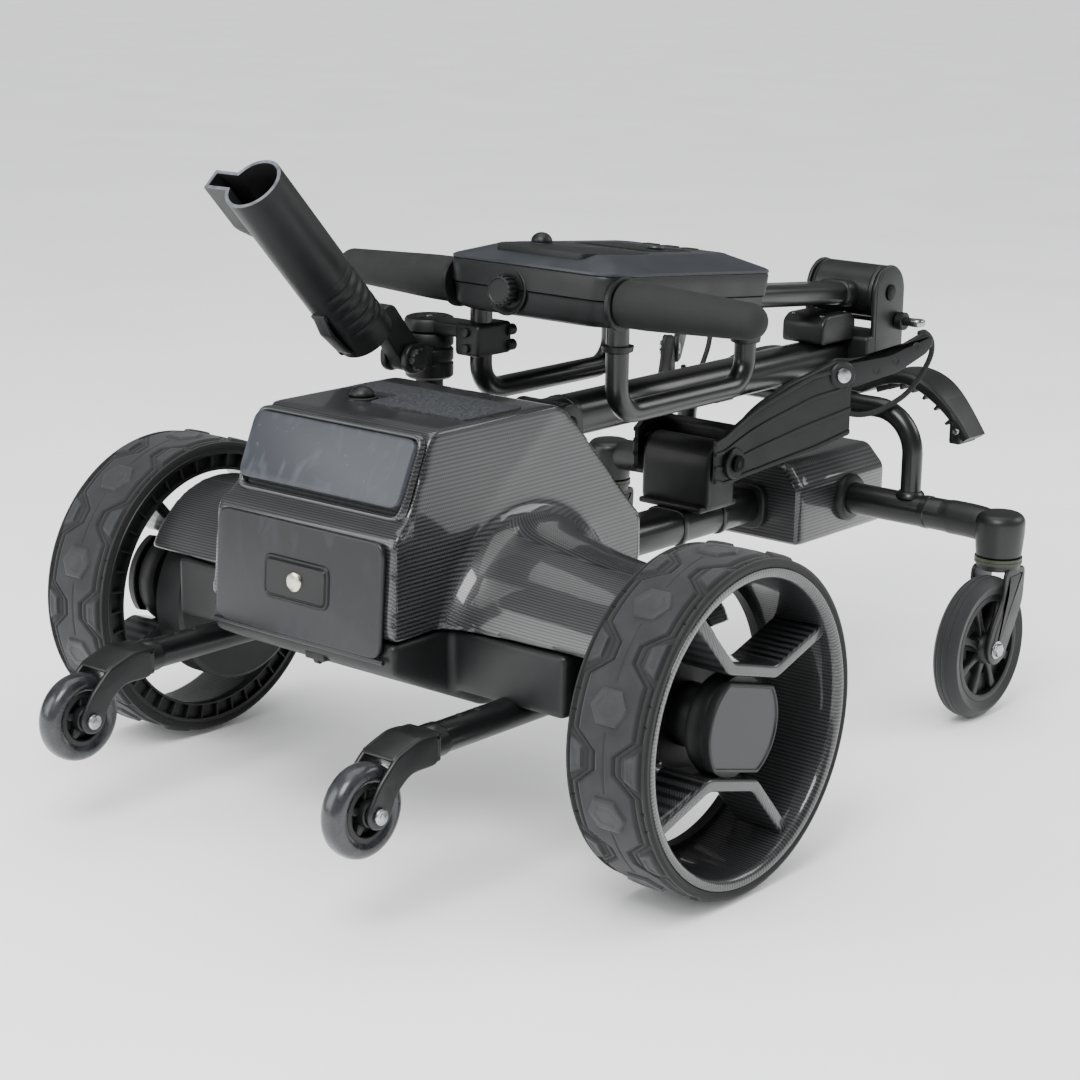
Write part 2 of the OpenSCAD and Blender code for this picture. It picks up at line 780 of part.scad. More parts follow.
module umbrella_tube() {
    color([0.07, 0.07, 0.07]) difference() {
        union() {
            umbrella_frame() {
                cylinder(r = umbrella_r, h = umbrella_len, $fn = 96);
                translate([0, 0, umbrella_len - 75]) linear_extrude(75) translate([-11, 0]) square([22, 56]);
            }
            // Lug between the post's ears
            place() difference() {
                hull() {
                    rod_y(tilt_pivot[0], tilt_pivot[1] - 10, 14, post[1] - 9.6, post[1] + 9.6, 32);
                    translate([16, 0, 16])
                        rod_y(umbrella_foot[0], umbrella_foot[1], 12, post[1] - 9.6, post[1] + 9.6, 32);
                }
                rod_y(tilt_pivot[0], tilt_pivot[1] - 10, 5 + fit, post[1] - 30, post[1] + 30);
            }
        }
        umbrella_frame() {
            translate([0, 0, 5]) cylinder(r = umbrella_bore_r, h = far, $fn = 96);
            translate([-7, 0, umbrella_len - 71]) cube([14, 52, far]);
            // Mouth of the lever's slot
            translate([-3, 45, umbrella_len - 60]) cube([6, 20, 30]);
        }
    }
}

module umbrella_lever() {
    color([0.05, 0.05, 0.05]) umbrella_frame() translate([14, 42, umbrella_len - 58]) {
        rotate([0, 90, 0]) translate([0, 0, -2.5]) cylinder(r = 8, h = 11, $fn = 48);
        box([-2, -6, -34], [8, 7, 0]);
    }
}

// ---- Lower cradle ----

// Plan of the left cradle arm: outer face from the hinge to the rivet.
arm_plan = [[372, 47], [420, 58], [455, 78], [486, 98], [516, 116]];
function shifted(p, t) = [for (i = [0:len(p) - 1]) let (d = heading(p, i)) p[i] + t * [d[1], -d[0]]];

module arm_band(t0, t1) {
    inner = shifted(arm_plan, t0);
    outer = shifted(arm_plan, t1);
    linear_extrude(far) polygon(concat(inner, [for (i = [len(outer) - 1:-1:0]) outer[i]]));
}

// Side outline of an arm: low at the hinge, rising to the rivet.
arm_side = [[372, 244], [384, 240], [430, 250], [480, 268], [516, 284], [526, 300], [518, 360], [500, 364],
    [455, 340], [400, 300], [376, 290]];

module cradle_arms() {
    color([0.06, 0.06, 0.06]) place() difference() {
        union() {
            both_sides() intersection() {
                arm_band(0, -6);
                plate_y(arm_side, 0, 200);
            }
            // Bridge that joins the arms in front of the pivot block
            plate_y([[424, 254], [436, 256], [436, 296], [424, 292]], -62, 62);
        }
        rod_y(cradle_pivot[0], cradle_pivot[1], pin_r + fit, -80, 80);
        for (s = [-1, 1]) side(s) rivet_hole(3 + fit);
    }
}

module rivet_hole(r) {
    translate(rivet) rotate([0, 0, atan2(18, 30)]) rotate([-90, 0, 0]) translate([0, 0, -30])
        cylinder(r = r, h = 60, $fn = 32);
}

module tip_frame(s) {
    place() side(s) translate(rivet) rotate([0, 0, atan2(18, 30)]) children();
}

module cradle_tip(s) {
    outline = [[-14, -14], [20, -16], [70, -2], [104, 18], [108, 34], [96, 38], [60, 20], [16, 14], [-6, 16],
        [-16, 4]];
    color([0.06, 0.06, 0.06]) tip_frame(s) {
        plate_y(outline, -12, -5.5);
        rod_y(0, 0, 3, -5.5, 9, 32);
        rod_y(0, 0, 8, 6.5, 9.5, 32);
    }
}

module bungee(s) {
    loop = [[96, -16, 36], [108, -24, 34], [118, -30, 24], [120, -34, 8], [110, -34, -12], [92, -30, -30],
        [68, -26, -42], [44, -22, -48], [22, -20, -46], [10, -18, -34], [6, -16, -20]];
    color([0.03, 0.03, 0.03]) tip_frame(s) cord(loop, 3, 8, [0, 1, 0]);
}

housing_shell();
housing_tray();
housing_panels();
battery_pack();
controller_board();
hub_motors();
axle_beam();
spine_tube();
front_box();
cross_tube();
caster_heads();
front_hoop();
pivot_block();
mast_lugs();
hinge_pins();
anti_tip_tubes();
anti_tip_forks();
battery_door();
door_lock();
power_button();
tyre(1);  // tyre_left
rim(1);  // rim_left
hub_cap(1);  // hub_cap_left
axle(1);  // axle_left
tyre(-1);  // tyre_right
rim(-1);  // rim_right
hub_cap(-1);  // hub_cap_right
axle(-1);  // axle_right
caster_fork(1);  // caster_fork_left
caster_tyre(1);  // caster_tyre_left
caster_hub(1);  // caster_hub_left
caster_fork(-1);  // caster_fork_right
caster_tyre(-1);  // caster_tyre_right
caster_hub(-1);  // caster_hub_right
anti_tip_tyre(1);  // anti_tip_tyre_left
anti_tip_hub(1);  // anti_tip_hub_left
anti_tip_tyre(-1);  // anti_tip_tyre_right
anti_tip_hub(-1);  // anti_tip_hub_right
mast_tube();
fold_bracket();
fold_pin();
upper_cradle();
latch_lever();
handle_tube();
console_base();
console_lid();
guard_bars();
grips();
speed_knob();
jog_dial();
mode_button();
umbrella_clamp();
umbrella_post();
umbrella_tube();
umbrella_lever();
cradle_arms();
cradle_tip(1);  // cradle_tip_left
cradle_tip(-1);  // cradle_tip_right
bungee(1);  // bungee_left
bungee(-1);  // bungee_right
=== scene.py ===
"""Electric golf trolley, folded: the finished surfaces, the studio and the camera.

Shapes are worked out in millimetres in the maker's frame (x 0 over the drive axle, +X forward,
+Y left, +Z up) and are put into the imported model's frame, in metres, when a piece is made.
"""

import logging
import math
from dataclasses import dataclass, field
from enum import Enum

import bmesh
import bpy
import numpy as np
from mathutils import Matrix, Vector


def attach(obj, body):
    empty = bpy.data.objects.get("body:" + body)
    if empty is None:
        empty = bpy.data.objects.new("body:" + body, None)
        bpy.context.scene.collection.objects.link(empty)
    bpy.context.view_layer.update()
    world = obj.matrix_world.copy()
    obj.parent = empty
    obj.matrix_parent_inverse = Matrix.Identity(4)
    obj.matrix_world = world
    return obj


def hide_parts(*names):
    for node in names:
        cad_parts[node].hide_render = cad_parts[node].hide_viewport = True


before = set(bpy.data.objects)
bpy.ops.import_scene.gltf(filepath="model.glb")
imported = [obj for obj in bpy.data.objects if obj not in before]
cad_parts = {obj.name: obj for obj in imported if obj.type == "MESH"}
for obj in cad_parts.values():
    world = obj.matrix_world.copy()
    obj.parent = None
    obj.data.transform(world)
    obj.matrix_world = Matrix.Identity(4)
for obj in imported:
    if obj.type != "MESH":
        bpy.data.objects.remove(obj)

LOG = logging.getLogger("trolley")
Array = np.ndarray
Tree, Node, Socket = bpy.types.NodeTree, bpy.types.Node, bpy.types.NodeSocket
AXLE_TO_CENTRE = 209.5  # how far the drive axle is behind the model's middle, in mm
SIDES = {"left": 1.0, "right": -1.0}


# ---- Surfaces as arrays ----


def vec(*values: float) -> Array:
    """A row of numbers as an array."""
    return np.array(values, float)


def unit(v: Array) -> Array:
    """Each row of v divided by its length."""
    return v / np.maximum(np.linalg.norm(v, axis=-1, keepdims=True), 1e-12)


def smooth(t: Array) -> Array:
    """3t^2 - 2t^3 between 0 and 1, flat outside."""
    t = np.clip(t, 0, 1)
    return t * t * (3 - 2 * t)


def rounded(corners: list, radius: float, steps: int = 5) -> Array:
    """A closed outline whose corners are softened.

    Each corner c becomes the curve (1-s)^2 a + 2s(1-s) c + s^2 b, where a and b lie on the two
    edges at one radius from c, or just under half an edge where that is shorter.

    Args:
        corners: the outline's corners, as pairs.
        radius: how far from a corner the curve starts.
        steps: points on each curve.
    Returns:
        The outline, one row a point.
    """
    c = np.array(corners, float)
    to_last, to_next = np.roll(c, 1, 0) - c, np.roll(c, -1, 0) - c
    reach = np.minimum(np.linalg.norm(to_last, axis=1), np.linalg.norm(to_next, axis=1)) * 0.49
    reach = np.minimum(reach, radius)[:, None]
    a, b = c + unit(to_last) * reach, c + unit(to_next) * reach
    s = np.linspace(0, 1, steps)[None, :, None]
    curve = (1 - s) ** 2 * a[:, None] + 2 * s * (1 - s) * c[:, None] + s * s * b[:, None]
    return curve.reshape(-1, 2)


def inset(outline: Array, by: float) -> Array:
    """The outline moved inwards: each point goes along the middle of its two edges' normals.

    Args:
        outline: the closed line, as pairs.
        by: how far inwards, in millimetres.
    Returns:
        As many points, moved.
    """
    ahead = unit(np.roll(outline, -1, 0) - outline)
    behind = np.roll(ahead, 1, 0)
    turn = np.sign(np.sum(outline[:, 0] * np.roll(outline[:, 1], -1) - outline[:, 1] * np.roll(outline[:, 0], -1)))
    normal = unit(ahead + behind)[:, ::-1] * [-1, 1] * turn
    stretch = 1 / np.maximum(np.sum(unit(ahead + behind) * ahead, axis=1), 0.6)
    return outline + normal * by * stretch[:, None]


def oblong(x0: float, y0: float, x1: float, y1: float, radius: float, steps: int = 5) -> Array:
    """A rectangle with softened corners, from its two opposite corners."""
    return rounded([(x0, y0), (x1, y0), (x1, y1), (x0, y1)], radius, steps)


def levels(outline: Array, table: list) -> Array:
    """Rings of an outline in space: for each (inset, height) the outline moved in and set at that height."""
    return np.array([np.c_[inset(outline, by), np.full(len(outline), height)] for by, height in table])


@dataclass
class Stand:
    """A local frame: where its origin is and which way its three axes point."""

    origin: Array = field(default_factory=lambda: np.zeros(3))
    axes: Array = field(default_factory=lambda: np.eye(3))

    def at(self, points: Array) -> Array:
        """Local points in the maker's frame."""
        return self.origin + np.asarray(points, float) @ self.axes

    @staticmethod
    def pitched(x: float, y: float, z: float, degrees: float) -> "Stand":
        """A frame turned about Y, its own x pointing below the horizon for a positive angle."""
        a = math.radians(degrees)
        return Stand(vec(x, y, z), np.array([[math.cos(a), 0, -math.sin(a)], [0, 1, 0],
                                             [math.sin(a), 0, math.cos(a)]]))

    @staticmethod
    def turned(x: float, y: float, z: float, degrees: float) -> "Stand":
        """A frame turned about Z."""
        a = math.radians(degrees)
        return Stand(vec(x, y, z), np.array([[math.cos(a), math.sin(a), 0], [-math.sin(a), math.cos(a), 0],
                                             [0, 0, 1]]))


PLATE = np.array([[1, 0, 0], [0, 0, 1], [0, 1, 0]], float)  # a slab's plan lies in XZ, its height along Y
CROSS = np.array([[0, 1, 0], [0, 0, 1], [1, 0, 0]], float)  # a slab's plan lies in YZ, its height along X
HOME = Stand()
UPRIGHT = Stand(axes=PLATE)


def spoke(centre: Array, degrees: float) -> Stand:
    """A spoke's frame in a wheel: x outwards from the centre, y round the wheel, z along the axle."""
    a = math.radians(degrees)
    return Stand(centre, np.array([[math.sin(a), 0, math.cos(a)], [math.cos(a), 0, -math.sin(a)], [0, 1, 0]]))


class Shape:
    """Points and faces gathered for one piece, in millimetres."""

    def __init__(self) -> None:
        """Starts empty."""
        self.points: list[Array] = []
        self.faces: list[list[int]] = []
        self.finish: list[int] = []
        self.count = 0

    def add(self, points: Array, faces: list, finish: int = 0) -> "Shape":
        """Adds a mesh.

        Args:
            points: its points.
            faces: its faces, as lists of point numbers.
            finish: which of the piece's materials it takes.
        Returns:
            The same shape.
        """
        self.points.append(np.asarray(points, float).reshape(-1, 3))
        start = self.count
        self.faces += [[i + start for i in f] for f in faces]
        self.finish += [finish] * len(faces)
        self.count += len(self.points[-1])
        return self

    def grid(self, points: Array, around: bool = False, along: bool = False, caps: bool = False,
             finish: int = 0) -> "Shape":
        """Adds a surface given as rows and columns of points.

        Args:
            points: rows, columns and three coordinates.
            around: whether the last column joins the first.
            along: whether the last row joins the first.
            caps: whether the first and last row are closed with a face.
            finish: which of the piece's materials it takes.
        Returns:
            The same shape.
        """
        rows, columns = points.shape[:2]
        r = np.arange(rows if along else rows - 1)[:, None]
        c = np.arange(columns if around else columns - 1)[None, :]
        r1, c1 = (r + 1) % rows, (c + 1) % columns
        quads = np.stack([r * columns + c, r * columns + c1, r1 * columns + c1, r1 * columns + c], -1)
        faces = quads.reshape(-1, 4).tolist()
        if caps:
            faces += [list(range(columns))[::-1], list(range((rows - 1) * columns, rows * columns))]
        return self.add(points, faces, finish)

    def skin(self, rings: Array, finish: int = 0) -> "Shape":
        """Adds a closed skin: rings of points, one after another, with a face over each end."""
        return self.grid(rings, around=True, caps=True, finish=finish)

    def slab(self, outline: Array, low: float, high: float, edge: float = 2.0, stand: Stand = HOME,
             steps: int = 4, finish: int = 0) -> "Shape":
        """Adds a plate with rounded rims.

        A rim follows a quarter circle: at angle t the outline is inset by edge (1 - cos t) while the
        height runs to edge (1 - sin t) short of the face.

        Args:
            outline: the plan, as pairs.
            low: height of the lower face.
            high: height of the upper face.
            edge: radius of the rims.
            stand: the frame that the plan and height are measured in.
            steps: rings on each rim.
            finish: which of the piece's materials it takes.
        Returns:
            The same shape.
        """
        edge = min(edge, abs(high - low) / 2)
        t = np.linspace(0, math.pi / 2, steps)
        cuts = np.concatenate([edge * (1 - np.sin(t)), edge * (1 - np.cos(t))])
        heights = np.concatenate([low + edge * (1 - np.cos(t)), high - edge * (1 - np.sin(t))])
        return self.skin(stand.at(levels(outline, list(zip(cuts, heights)))), finish)

    def turn(self, profile: list, centre: Array, axis: int | Array = 1, sides: int = 96, closed: bool = True,
             finish: int = 0) -> "Shape":
        """Adds a turned surface: each profile point (radius, along) is carried round the axis.

        Args:
            profile: pairs of radius and place along the axis.
            centre: a point on the axis, where along is 0.
            axis: 0, 1 or 2 for X, Y or Z, or a direction.
            sides: points round the axis.
            closed: whether the profile's last point joins its first.
            finish: which of the piece's materials it takes.
        Returns:
            The same shape.
        """
        d = np.eye(3)[axis] if isinstance(axis, int) else unit(np.asarray(axis, float))
        u = unit(np.cross(d, vec(0, 0, 1) if abs(d[2]) < 0.9 else vec(1, 0, 0)))
        v = np.cross(d, u)
        p = np.array(profile, float)
        a = np.linspace(0, 2 * math.pi, sides, endpoint=False)
        ring = np.cos(a)[:, None] * u + np.sin(a)[:, None] * v
        points = centre + p[:, None, 0:1] * ring[None] + p[:, None, 1:2] * d
        return self.grid(points, around=True, along=closed, finish=finish)

    def tube(self, path: Array, radius: float | Array, side: Array = vec(0, 1, 0), sides: int = 32,
             squash: tuple[float, float] = (1, 1), finish: int = 0) -> "Shape":
        """Adds a round or oval bar along a path.

        The section stands square to the path: one of its axes is side made square to the path, the
        other is square to both.

        Args:
            path: points along the middle.
            radius: one radius, or one at each point.
            side: a direction that is never along the path.
            sides: points round the bar.
            squash: how far each axis of the section is stretched.
            finish: which of the piece's materials it takes.
        Returns:
            The same shape.
        """
        path = np.asarray(path, float)
        ahead = unit(np.gradient(path, axis=0))
        up = unit(np.cross(side, ahead))
        across = np.cross(ahead, up)
        a = np.linspace(0, 2 * math.pi, sides, endpoint=False)[None, :, None]
        r = np.broadcast_to(np.asarray(radius, float), (len(path),))[:, None, None]
        points = path[:, None] + r * (squash[0] * np.cos(a) * up[:, None] + squash[1] * np.sin(a) * across[:, None])
        return self.skin(points, finish)

    def rod(self, start: Array, end: Array, radius: float, edge: float = 0.8, sides: int = 40,
            finish: int = 0) -> "Shape":
        """Adds a straight round bar with rounded ends."""
        length = float(np.linalg.norm(np.subtract(end, start)))
        t = np.linspace(0, math.pi / 2, 4)
        first = np.c_[radius - edge * (1 - np.sin(t)), edge * (1 - np.cos(t))]
        last = np.c_[radius - edge * (1 - np.cos(t)), length - edge * (1 - np.sin(t))]
        profile = np.r_[[[0, 0]], first, last, [[0, length]]]
        return self.turn(profile, np.asarray(start, float), np.subtract(end, start), sides, closed=False,
                         finish=finish)

    def block(self, low: tuple, high: tuple, edge: float = 2.0, stand: Stand = HOME, finish: int = 0) -> "Shape":
        """Adds a box with all its edges rounded."""
        (x0, y0, z0), (x1, y1, z1) = low, high
        plan = oblong(x0, y0, x1, y1, edge, 4)
        return self.slab(plan, z0, z1, edge, stand, 4, finish)

    def join(self, other: "Shape", finish: int | None = None) -> "Shape":
        """Adds all of another shape, with its own finishes or with one for the whole."""
        self.add(np.concatenate(other.points), other.faces)
        theirs = other.finish if finish is None else [finish] * len(other.finish)
        self.finish[len(self.finish) - len(theirs):] = theirs
        return self

    def mirrored(self) -> "Shape":
        """The same shape on the trolley's other side."""
        other = Shape()
        other.points = [p * [1, -1, 1] for p in self.points]
        other.faces = [f[::-1] for f in self.faces]
        other.finish = list(self.finish)
        other.count = self.count
        return other

    def on(self, side: float) -> "Shape":
        """The shape on the left for 1, or on the right for -1."""
        return self if side > 0 else self.mirrored()


def arc(centre: tuple, radius: float, start: float, stop: float, steps: int = 8) -> Array:
    """Points of an arc in a plane, with angles in degrees."""
    a = np.radians(np.linspace(start, stop, steps))
    return np.c_[centre[0] + radius * np.cos(a), centre[1] + radius * np.sin(a)]


def curve(points: list, steps: int = 8) -> Array:
    """A smooth line through points: a Catmull-Rom spline, each end carried on in a straight line.

    Args:
        points: what the line goes through.
        steps: points on each span.
    Returns:
        The line, one row a point.
    """
    p = np.array(points, float)
    q = np.r_[p[:1] * 2 - p[1:2], p, p[-1:] * 2 - p[-2:-1]]
    t = np.linspace(0, 1, steps, endpoint=False)[None, :, None]
    a, b, c, d = q[:-3, None], q[1:-2, None], q[2:-1, None], q[3:, None]
    body = 0.5 * (2 * b + (c - a) * t + (2 * a - 5 * b + 4 * c - d) * t**2 + (3 * b - a - 3 * c + d) * t**3)
    return np.r_[body.reshape(-1, p.shape[1]), p[-1:]]


class Wrap(Enum):
    """How a flat pattern is laid on a piece."""

    BOX = "box"
    ROUND = "round"


def lay_pattern(mesh: bpy.types.Mesh, wrap: Wrap, centre: Array, radius: float) -> None:
    """Writes the piece's pattern map, in metres.

    BOX lays rows level: a face that looks sideways takes place along the trolley and height, any other
    takes place across the trolley and height less the distance from the centre, so that the rows go
    on over a ridge or a ledge without a seam. ROUND unrolls the piece about an axis along
    Y: one coordinate is angle times radius, the other is place along the axis plus distance from it.

    Args:
        mesh: the mesh, in the model's frame.
        wrap: which of the two.
        centre: a point on the axis for ROUND, or on the ridge's line for BOX.
        radius: the radius at which the pattern keeps its true size.
    """
    n_loops, n_faces = len(mesh.loops), len(mesh.polygons)
    where = np.zeros(len(mesh.vertices) * 3, np.float32)
    mesh.vertices.foreach_get("co", where)
    index = np.zeros(n_loops, np.int32)
    mesh.loops.foreach_get("vertex_index", index)
    p = where.reshape(-1, 3)[index]
    total = np.zeros(n_faces, np.int32)
    mesh.polygons.foreach_get("loop_total", total)
    face = np.repeat(np.arange(n_faces), total)
    if wrap is Wrap.BOX:
        normal = np.zeros(n_faces * 3, np.float32)
        mesh.polygons.foreach_get("normal", normal)
        sideways = (np.abs(normal.reshape(-1, 3)).argmax(1) == 1)[face]
        u = np.where(sideways, p[:, 0], p[:, 1])
        v = p[:, 2] - np.where(sideways, 0, np.abs(p[:, 0] - centre[0]))
    else:
        middle = np.zeros(n_faces * 3, np.float32)
        mesh.polygons.foreach_get("center", middle)
        q = middle.reshape(-1, 3)[face] - centre
        d = p - centre
        face_angle = np.arctan2(q[:, 2], q[:, 0])
        step = (np.arctan2(d[:, 2], d[:, 0]) - face_angle + math.pi) % (2 * math.pi) - math.pi
        u = d[:, 1] + np.hypot(d[:, 0], d[:, 2])
        v = (face_angle + step) * radius
    layer = mesh.uv_layers.new(name="Pattern")
    layer.data.foreach_set("uv", np.stack([u, v], 1).astype(np.float32).ravel())


def build(name: str, shape: Shape, finishes: list, body: str, stands_for: str = "", wrap: Wrap = Wrap.BOX,
          centre: tuple = (0, 0, 0), radius: float = 1.0, crease: float = 35.0, slot: str = "black_plastic",
          remesh: float = 0.0, relax: int = 0) -> bpy.types.Object:
    """Makes a piece of the visual model from a shape.

    Args:
        name: the piece's name.
        shape: its points and faces, in millimetres.
        finishes: the materials that the shape's faces name by number.
        body: the CAD body that it moves with.
        stands_for: the CAD node that it takes the place of.
        wrap: how its pattern map is laid.
        centre: a point on the axis of a round map, in millimetres.
        radius: radius of a round map, in millimetres.
        crease: faces that meet at more than this many degrees stay sharp.
        slot: not used.
        remesh: the cell size, in millimetres, if the solids are melted into one skin first.
        relax: how many times each point is then moved half way to its neighbours' middle.
    Returns:
        The piece's object.
    """
    mesh = bpy.data.meshes.new(name)
    points = (np.concatenate(shape.points) - [AXLE_TO_CENTRE, 0, 0]) / 1000
    mesh.from_pydata(points.tolist(), [], shape.faces)
    for m in finishes:
        mesh.materials.append(m)
    mesh.polygons.foreach_set("material_index", shape.finish)
    tidy(mesh)
    obj = bpy.data.objects.new(name, mesh)
    bpy.context.scene.collection.objects.link(obj)
    if remesh:
        melt(obj, remesh / 1000, relax)
        mesh = obj.data
    mesh.polygons.foreach_set("use_smooth", [True] * len(mesh.polygons))
    mesh.set_sharp_from_angle(angle=math.radians(crease))
    lay_pattern(mesh, wrap, (np.array(centre) - [AXLE_TO_CENTRE, 0, 0]) / 1000, radius / 1000)
    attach(obj, body)
    if stands_for:
        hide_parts(stands_for)
    LOG.info("%s: %d faces on %s", name, len(mesh.polygons), body)
    return obj


def tidy(mesh: bpy.types.Mesh) -> None:
    """Closes seams and poles, then points the faces outwards.

    Args:
        mesh: the mesh, changed in place.
    """
    bm = bmesh.new()
    bm.from_mesh(mesh)
    bmesh.ops.remove_doubles(bm, verts=bm.verts, dist=2e-6)
    bmesh.ops.dissolve_degenerate(bm, edges=bm.edges, dist=1e-7)
    bmesh.ops.recalc_face_normals(bm, faces=bm.faces)
    bm.to_mesh(mesh)
    bm.free()


def melt(obj: bpy.types.Object, cell: float, relax: int) -> None:
    """Turns overlapping solids into one skin with soft edges, by voxel remesh and smoothing.

    Args:
        obj: the object, changed in place.
        cell: the voxel's size, in metres.
        relax: rounds of smoothing, each half way to the neighbours' middle.
    """
    m = obj.modifiers.new("skin", "REMESH")
    m.mode, m.voxel_size, m.use_smooth_shade = "VOXEL", cell, True
    s = obj.modifiers.new("relax", "SMOOTH")
    s.factor, s.iterations = 0.5, relax
    keep = list(obj.data.materials)
    done = bpy.data.meshes.new_from_object(obj.evaluated_get(bpy.context.evaluated_depsgraph_get()))
    obj.modifiers.clear()
    obj.data = done
    if not done.materials:
        for k in keep:
            done.materials.append(k)


def carve(obj: bpy.types.Object, cutter: Shape, finish: bpy.types.Material, crease: float) -> None:
    """Cuts a shape out of a piece; the cut's walls take the given finish.

    Args:
        obj: the piece, changed in place.
        cutter: the solids to take away, which don't overlap.
        finish: the material of the new walls.
        crease: faces that meet at more than this many degrees stay sharp.
    """
    mesh = bpy.data.meshes.new("cutter")
    mesh.from_pydata(((np.concatenate(cutter.points) - [AXLE_TO_CENTRE, 0, 0]) / 1000).tolist(), [], cutter.faces)
    mesh.materials.append(finish)
    tidy(mesh)
    tidy(obj.data)
    knife = bpy.data.objects.new("cutter", mesh)
    bpy.context.scene.collection.objects.link(knife)
    m = obj.modifiers.new("openings", "BOOLEAN")
    m.operation, m.object, m.solver, m.material_mode = "DIFFERENCE", knife, "MANIFOLD", "TRANSFER"
    done = bpy.data.meshes.new_from_object(obj.evaluated_get(bpy.context.evaluated_depsgraph_get()))
    obj.modifiers.clear()
    obj.data = done
    bpy.data.objects.remove(knife)
    done.set_sharp_from_angle(angle=math.radians(crease))
    if "Pattern" in done.uv_layers:
        done.uv_layers.remove(done.uv_layers["Pattern"])
    LOG.info("%s: %d faces once cut", obj.name, len(done.polygons))


# ---- Finishes ----


def linear(code: str) -> tuple:
    """An sRGB hex colour as linear RGBA."""
    c = np.array([int(code[i:i + 2], 16) for i in (1, 3, 5)]) / 255
    c = np.where(c <= 0.04045, c / 12.92, ((c + 0.055) / 1.055) ** 2.4)
    return (*c.tolist(), 1.0)


def add(tree: Tree, kind: str, settings: dict | None = None, feeds: dict | None = None) -> Node:
    """Adds a node.

    Args:
        tree: the material's node tree.
        kind: the node's type, without ShaderNode.
        settings: the node's own properties.
        feeds: for each input, by name or number, a socket to link or a value to set.
    Returns:
        The node.
    """
    node = tree.nodes.new("ShaderNode" + kind)
    for key, value in (settings or {}).items():
        setattr(node, key, value)
    for key, value in (feeds or {}).items():
        if isinstance(value, Socket):
            tree.links.new(value, node.inputs[key])
        else:
            node.inputs[key].default_value = value
    return node


@dataclass(frozen=True)
class Finish:
    """One real finish: its colours, its shader values and the grain of its surface.

    Lengths are in millimetres.
    """

    name: str
    dark: str
    light: str
    roughness: tuple[float, float]
    grain: float = 0.5
    grain_height: float = 0.03
    cloud: float = 40.0
    metallic: float = 0.0
    ior: float = 1.5
    specular: float = 0.5
    coat: float = 0.0
    coat_roughness: float = 0.05
    sheen: float = 0.0
    see_through: float = 0.0

    def start(self) -> tuple:
        """An empty material with its shader set: material, tree, shader and a place coordinate."""
        material = bpy.data.materials.new(self.name)
        material.use_nodes = True
        tree = material.node_tree
        tree.nodes.clear()
        shader = add(tree, "BsdfPrincipled", {}, {
            "Metallic": self.metallic, "Specular IOR Level": self.specular,
            "Coat Weight": self.coat, "Coat Roughness": self.coat_roughness, "Sheen Weight": self.sheen,
            "Transmission Weight": self.see_through})
        if self.metallic < 0.5:
            shader.inputs["IOR"].default_value = self.ior
        add(tree, "OutputMaterial", {}, {"Surface": shader.outputs["BSDF"]})
        place = add(tree, "TexCoord").outputs["Object"]
        return material, tree, shader, place

    def clouds(self, tree: Tree, place: Socket, size: float, detail: float = 3.0) -> Socket:
        """Noise whose blobs are about size millimetres across, from 0 to 1."""
        return add(tree, "TexNoise", {}, {"Vector": place, "Scale": 1000 / size, "Detail": detail}).outputs["Fac"]

    def spread(self, tree: Tree, value: Socket, low: float, high: float,
               near: float = 0.3, far: float = 0.7) -> Socket:
        """The value's middle part stretched over low to high."""
        return add(tree, "MapRange", {}, {"Value": value, "From Min": near, "From Max": far,
                                          "To Min": low, "To Max": high}).outputs["Result"]

    def tint(self, tree: Tree, value: Socket) -> Socket:
        """The dark colour where value is 0 and the light one where it is 1."""
        return add(tree, "Mix", {"data_type": "RGBA"},
                   {0: value, 6: linear(self.dark), 7: linear(self.light)}).outputs[2]

    def paint(self, tree: Tree, shader: Node, colour: Socket,
              roughness: Socket) -> None:
        """Gives the shader its colour, from 0 dark to 1 light, and its roughness."""
        tree.links.new(self.tint(tree, colour), shader.inputs["Base Color"])
        tree.links.new(roughness, shader.inputs["Roughness"])

    def emboss(self, tree: Tree, shader: Node, height: Socket,
               strength: float = 1.0) -> None:
        """Lets a pattern stand up by the finish's grain height."""
        bump = add(tree, "Bump", {}, {"Height": height, "Distance": self.grain_height / 1000, "Strength": strength})
        tree.links.new(bump.outputs["Normal"], shader.inputs["Normal"])

    def make(self) -> bpy.types.Material:
        """The material: cloudy colour and roughness, and a fine grain that catches the light."""
        material, tree, shader, place = self.start()
        broad = self.clouds(tree, place, self.cloud)
        fine = self.clouds(tree, place, self.grain, 2.0)
        both = add(tree, "Math", {"operation": "MULTIPLY_ADD"}, {0: fine, 1: 0.35, 2: broad}).outputs[0]
        self.paint(tree, shader, self.spread(tree, both, 0, 1, 0.45, 0.9),
                   self.spread(tree, broad, *self.roughness))
        self.emboss(tree, shader, fine)
        return material


